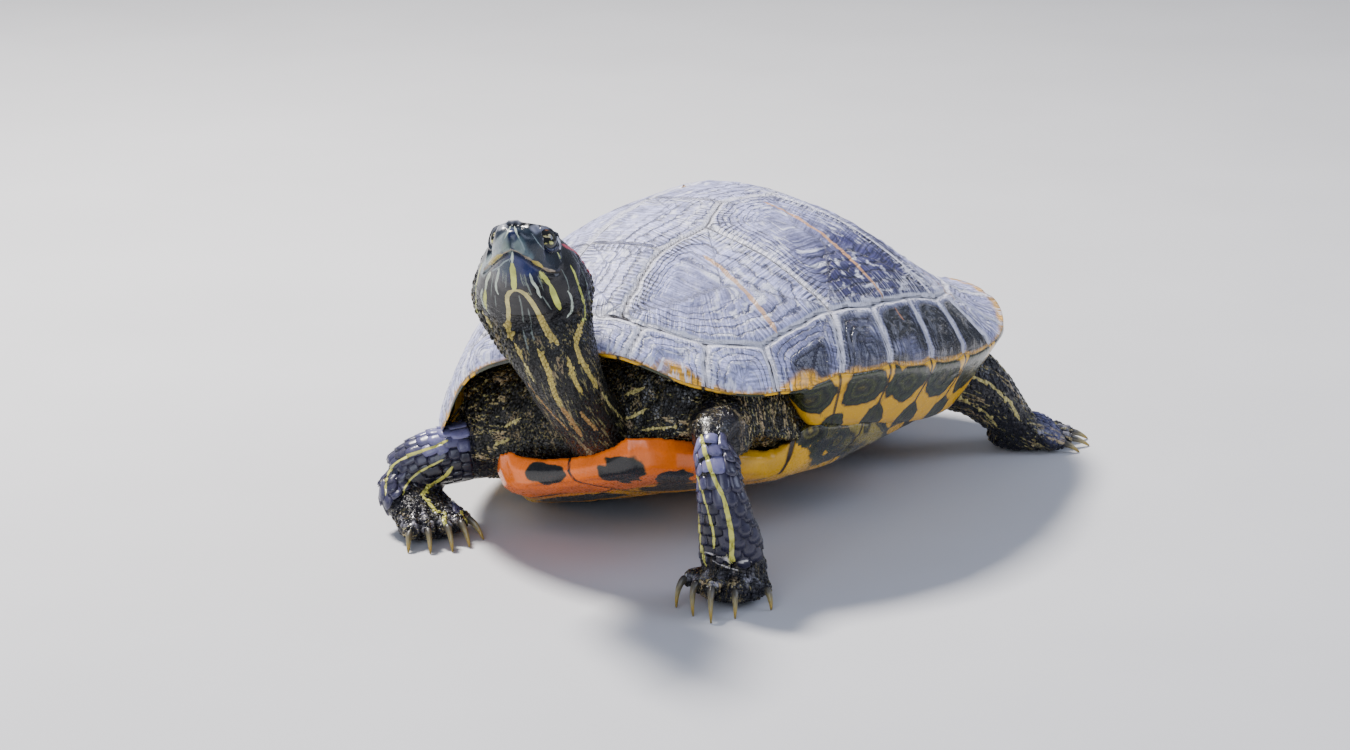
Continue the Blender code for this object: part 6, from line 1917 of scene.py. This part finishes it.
def buildPlastron():
    piece = mergedCopy("plastron", "plastronShell")
    writePoints(piece, readPoints(piece) + readNormals(piece) * 0.15)
    applyModifier(piece, "REMESH", mode="VOXEL", voxel_size=plastronLook["voxel"] * mm)
    relax(piece, 3, np.full(len(piece.data.vertices), 0.7))
    shell = worldToShell(readPoints(piece))
    wing = smooth(np.abs(shell[:, 0]), 53.0, 66.0) * np.interp(shell[:, 1], *plastronLook["wingRise"])
    shell[:, 2] += wing
    shell[:, 0] += np.sign(shell[:, 0]) * wing * 0.45
    points = shellToWorld(shell)
    points[:, 2] = np.maximum(points[:, 2], 0.05)
    writePoints(piece, points)
    tree = BVHTree.FromObject(piece, bpy.context.evaluated_depsgraph_get())
    x, y, _ = shell.T
    folded = shell * (0, 1, 1) + np.abs(x)[:, None] * (1, 0, 0)
    places = framePlace(shellToWorld(folded))
    edges = np.array([plastronLook["front"], *plastronLook["seams"], plastronLook["rear"]])
    index = np.clip(np.searchsorted(edges, y) - 1, 0, len(edges) - 2)
    middle = (edges[index] + edges[index + 1]) / 2
    half = (edges[index + 1] - edges[index]) / 2
    lateral = np.interp(y, [-111, -90, -60, 0, 60, 99], [11, 18, 27, 32, 26, 13])
    breadth = np.interp(y, [-111, -60, 30, 99], [12, 22, 26, 13])
    oval = np.hypot((np.abs(x) - lateral) / breadth, (y - middle) / (half * 0.82))
    oval += 0.22 * noise(shell, 9.0, 61)
    # the bridge: a yellow band along its front edge, dark behind it, with ringed eyes
    band = np.array(plastronLook["bridgeBand"])
    behind = (places[:, 0] - np.interp(places[:, 1], band[:, 1], band[:, 0])) / 2.7
    onBridge = (np.abs(x) > 50.0) & (y < 40.0) & (y > -80.0)
    dark = 0.96 - 0.04 * behind + 0.1 * noise(shell, 5.0, 64) + 0.5 * smooth(noise(folded, 9.0, 65), 0.25, 0.6)
    dark += 1.4 * smooth(behind, 31.0, 37.0)
    oval = np.where(onBridge, np.where(behind > 0, np.minimum(dark, 1.2), 1.0 - 0.3 * behind), oval)
    for place, radius in plastronLook["bridgeEyes"]:
        hit = pixelHit(tree, place)
        if hit is not None:
            spot = worldToShell(hit)
            away = lengthsOf(folded - spot * (np.sign(spot[0]), 1, 1)) / radius
            away += 0.12 * noise(shell, 4.0, 62)
            oval = np.where(onBridge & (away < 1), away, oval)
    lip = 1 - smooth(y, -92.0, -80.0)
    oval = np.where((lip > 0.3) & ~onBridge, np.maximum(oval, 1.15), oval)
    for place, (wide, tall) in plastronLook["lipBlotches"]:
        hit = pixelHit(tree, place)
        if hit is not None:
            gap = points - hit
            away = np.hypot(gap @ right / wide, gap @ up / tall) + 0.25 * noise(shell, 3.0, 63)
            oval = np.where((lip > 0.3) & (away < 1.4), np.minimum(oval, away), oval)
    seam = np.minimum(np.min(np.abs(y[:, None] - edges[1:-1]), axis=1), np.abs(x) + 9 * (np.abs(x) > 40))
    writeValue(piece, "oval", oval)
    writeValue(piece, "seamDistance", seam)
    writeValue(piece, "lip", lip)
    writeValue(piece, "bridge", smooth(np.abs(x), 42.0, 50.0))
    print("plastron:", len(points), "points")
    return piece


def glossyHorn():
    # smooth horn of the underside: orange in front, yellow at the bridge, with dark ringed blotches; waxy and glossy
    material, shader, add, place = newMaterial("blotchedHorn")
    names = ("oval", "seamDistance", "lip", "bridge")
    oval, seam, lip, bridge = [add("Attribute", attribute_name=name).outputs["Fac"] for name in names]
    soft = add("TexNoise", {"Vector": place, "Scale": 120.0, "Detail": 4.0})
    fine = add("TexNoise", {"Vector": place, "Scale": 900.0, "Detail": 3.0})
    ground = add("Mix", {0: lip, 6: "#dd9a0c", 7: "#ea6c00"}, data_type="RGBA")
    ground = add("Mix", {0: bridge, 6: ground, 7: "#e2a90c"}, data_type="RGBA")
    swirl = add("MapRange", (soft, 0.0, 1.0, -0.3, 0.3))
    ringed = add("Math", (oval, swirl), operation="ADD")
    rings = add("ValToRGB", (ringed,))
    ringColours = [(0.0, "#8a7a30"), (0.16, "#100f0a"), (0.34, "#565224"), (0.46, "#0f100c"), (0.72, "#1b1d14")]
    fillRamp(rings, [*ringColours, (0.86, "#31361c"), (1.0, "#14140e")])
    dark = add("ValToRGB", (ringed,))
    fillRamp(dark, [(0.0, "#05060c"), (0.7, "#08080c"), (0.88, "#121209"), (1.0, "#4a4718")])
    pattern = add("Mix", {0: bridge, 6: dark, 7: rings}, data_type="RGBA")
    cover = add("MapRange", (ringed, 0.9, 1.02, 1.0, 0.0), **eased)
    blotched = add("Mix", {0: cover, 6: ground, 7: pattern}, data_type="RGBA")
    cloud = add("MapRange", (soft, 0.3, 0.7, 0.82, 1.14))
    toned = add("VectorMath", {0: blotched, "Scale": cloud}, operation="SCALE")
    line = add("MapRange", (seam, 0.3, 0.9, 1.0, 0.0), **eased)
    whole = add("Mix", {0: line, 6: toned, 7: "#2a1a0c"}, data_type="RGBA")
    rough = add("MapRange", (fine, 0.3, 0.7, 0.2, 0.36))
    relief = add("Math", (line, -1.0, soft), operation="MULTIPLY_ADD")
    bump = add("Bump", {"Strength": 0.6, "Distance": 0.4 * mm, "Height": relief})
    connect(shader, {"Base Color": whole, "Roughness": rough, "IOR": 1.54, "Normal": bump})
    return material


plastron = buildPlastron()
plastron.data.materials.append(glossyHorn())
finishPiece(plastron, "plastron_keratin", "plastron")


# Eyes: wet balls, nearly black, with broken yellow bars
eyeLook = {
    # spots over the picture's frame: place, half width and half height in millimetres, slant, colour
    "spots": [
        ((546.9, 236.7), (1.25, 0.3), 0.18, "#d8cf9a"),
        ((549.5, 234.9), (0.55, 0.22), 0.5, "#d8cf9a"),
        ((545.2, 243.8), (0.7, 0.22), 0.0, "#cfc878"),
        ((551.4, 242.8), (0.75, 0.5), 0.35, "#cfd07a"),
        ((546.7, 229.2), (0.8, 0.42), 0.1, "#8a5a34"),
        ((541.6, 236.6), (0.25, 0.9), 0.0, "#6f6c46"),
        ((553.4, 236.6), (0.2, 1.0), 0.0, "#4d4a2c"),
    ],
}


def buildEye(side):
    middle, gaze, level, rise = eyeFrame(side)
    deselectAll()
    bpy.ops.mesh.primitive_uv_sphere_add(segments=64, ring_count=40, radius=1)
    piece = bpy.context.active_object
    piece.name = "eyeLeft" if side > 0 else "eyeRight"
    ball = readPoints(piece) * mm
    turned = ball[:, :1] * level + ball[:, 1:2] * rise + ball[:, 2:3] * gaze
    bulge = 1 + 0.035 * smooth(ball[:, 2], 0.72, 0.98)
    points = middle + turned * bulge[:, None] * (headLie["eyeRadius"] - 0.05)
    writePoints(piece, points)
    # marks are set by rays on the near eye and mirrored to the far one
    paint = np.tile(colour("#08080b"), (len(points), 1))
    local = headLocal(points) * (1, side, 1)
    across, upwards = headAxes @ right, headAxes @ up
    for place, (wide, tall), slant, code in eyeLook["spots"]:
        offset = local - ballHit(place)
        u = offset @ across - slant * (offset @ upwards)
        v = offset @ upwards + slant * 0.6 * (offset @ across)
        part = (1 - smooth(np.hypot(u / wide, v / tall), 0.75, 1.2)) * (lengthsOf(offset) < 3.0)
        paint = laidOver(paint, code, part)
    writeColour(piece, "eyeColour", paint)
    piece.data.materials.append(eyeMaterial)
    finishPiece(piece, "wet_eye", "eye_left" if side > 0 else "eye_right")


def wetEye():
    # a dark iris behind a clear wet cornea: mirror-like highlights
    material, shader, add, place = newMaterial("wetEye")
    paint = add("Attribute", attribute_name="eyeColour").outputs["Color"]
    grain = add("TexNoise", {"Vector": place, "Scale": 2600.0, "Detail": 3.0})
    tone = add("MapRange", (grain, 0.3, 0.7, 0.65, 1.3))
    whole = add("VectorMath", {0: paint, "Scale": tone}, operation="SCALE")
    connect(shader, {"Base Color": whole, "Roughness": 0.06, "IOR": 1.38, "Coat Weight": 0.6, "Coat Roughness": 0.03})
    return material


eyeMaterial = wetEye()
buildEye(1)
buildEye(-1)
print("eyes made")


# Claws: curved horn, grey at the root and yellowish at the tip
def clawHorn():
    # worn horn that lets a little light through: lengthwise fibres, satin gloss
    material, shader, add, place = newMaterial("clawHorn")
    names = ("along", "around")
    along, around = [add("Attribute", attribute_name=name).outputs["Fac"] for name in names]
    soft = add("TexNoise", {"Vector": place, "Scale": 700.0, "Detail": 4.0})
    moved = add("MapRange", (soft, 0.0, 1.0, -0.14, 0.14))
    reach = add("Math", (along, moved), operation="ADD")
    tint = add("ValToRGB", (reach,))
    fillRamp(tint, [(0.0, "#26252a"), (0.3, "#5b5647"), (0.6, "#958859"), (0.85, "#a88b36"), (1.0, "#7d6a30")])
    fibrePlace = add("CombineXYZ", (around, along))
    fibre = add("TexNoise", {"Vector": fibrePlace, "Scale": 3.0, "Detail": 3.0}, noise_dimensions="2D")
    streak = add("MapRange", (fibre, 0.3, 0.7, 0.62, 1.25))
    whole = add("VectorMath", {0: tint, "Scale": streak}, operation="SCALE")
    bump = add("Bump", {"Strength": 0.4, "Distance": 0.15 * mm, "Height": fibre})
    shading = {
        "Base Color": whole,
        "Roughness": 0.3,
        "IOR": 1.54,
        "Subsurface Weight": 0.15,
        "Subsurface Radius": (0.002, 0.0012, 0.0006),
        "Normal": bump,
    }
    connect(shader, shading)
    return material


def buildClaws():
    horn = clawHorn()
    for node in clawNodes:
        piece = mergedCopy(node, node.replace("_", " ").title().replace(" ", ""))
        tip, root = clawEnds(readPoints(piece))
        applyModifier(piece, "SUBSURF", levels=2, render_levels=2)
        points = readPoints(piece) + readNormals(piece) * 0.22
        points[:, 2] = np.maximum(points[:, 2], 0.02)
        writePoints(piece, points)
        length = np.linalg.norm(root - tip)
        axis = (root - tip) / length
        along = 1 - (points - tip) @ axis / length
        side = unit(np.cross(axis, (0, 0, 1.0)))
        other = np.cross(axis, side)
        gap = points - tip
        writeValue(piece, "along", np.clip(along, 0, 1))
        writeValue(piece, "around", gap @ side * 3 + gap @ other * 1.7)
        piece.data.materials.append(horn)
        finishPiece(piece, "claw_horn", node)


buildClaws()
print("claws made")


# Floor and light
studio = {
    "floor": "#c4c5c9",
    "sky": ("#d8e2f4", 0.42),
    # place in metres, size in metres, power in watts, colour
    "lights": [
        ((-0.7, 0.15, 1.15), 0.25, 50.0, "#fff9f2"),
        ((0.35, -1.3, 0.75), 0.9, 10.0, "#e8eeff"),
        ((1.1, 0.5, 0.8), 0.8, 8.0, "#dbe4ff"),
    ],
}


def buildFloor():
    deselectAll()
    bpy.ops.mesh.primitive_plane_add(size=8)
    floor = bpy.context.active_object
    floor.name = "floor"
    # matt studio paper with a trace of mottle
    material, shader, add, place = newMaterial("paleStudioPaper")
    mottle = add("TexNoise", {"Vector": place, "Scale": 8.0, "Detail": 3.0})
    tone = add("MapRange", (mottle, 0.3, 0.7, 0.97, 1.03))
    paper = add("VectorMath", {0: colour(studio["floor"]), "Scale": tone}, operation="SCALE")
    connect(shader, {"Base Color": paper, "Roughness": 0.75})
    floor.data.materials.append(material)


def buildLights():
    world = bpy.data.worlds.new("studio")
    bpy.context.scene.world = world
    world.use_nodes = True
    code, strength = studio["sky"]
    background = world.node_tree.nodes["Background"]
    background.inputs["Color"].default_value = (*colour(code), 1.0)
    background.inputs["Strength"].default_value = strength
    for number, (place, size, power, code) in enumerate(studio["lights"]):
        data = bpy.data.lights.new(f"softLight{number}", "AREA")
        data.size = size
        data.energy = power
        data.color = colour(code)
        lamp = bpy.data.objects.new(f"softLight{number}", data)
        bpy.context.scene.collection.objects.link(lamp)
        aim = Vector(place) - Vector((0, 0, 0.06))
        lamp.matrix_world = Matrix.Translation(Vector(place)) @ aim.to_track_quat("Z", "Y").to_matrix().to_4x4()


buildFloor()
buildLights()
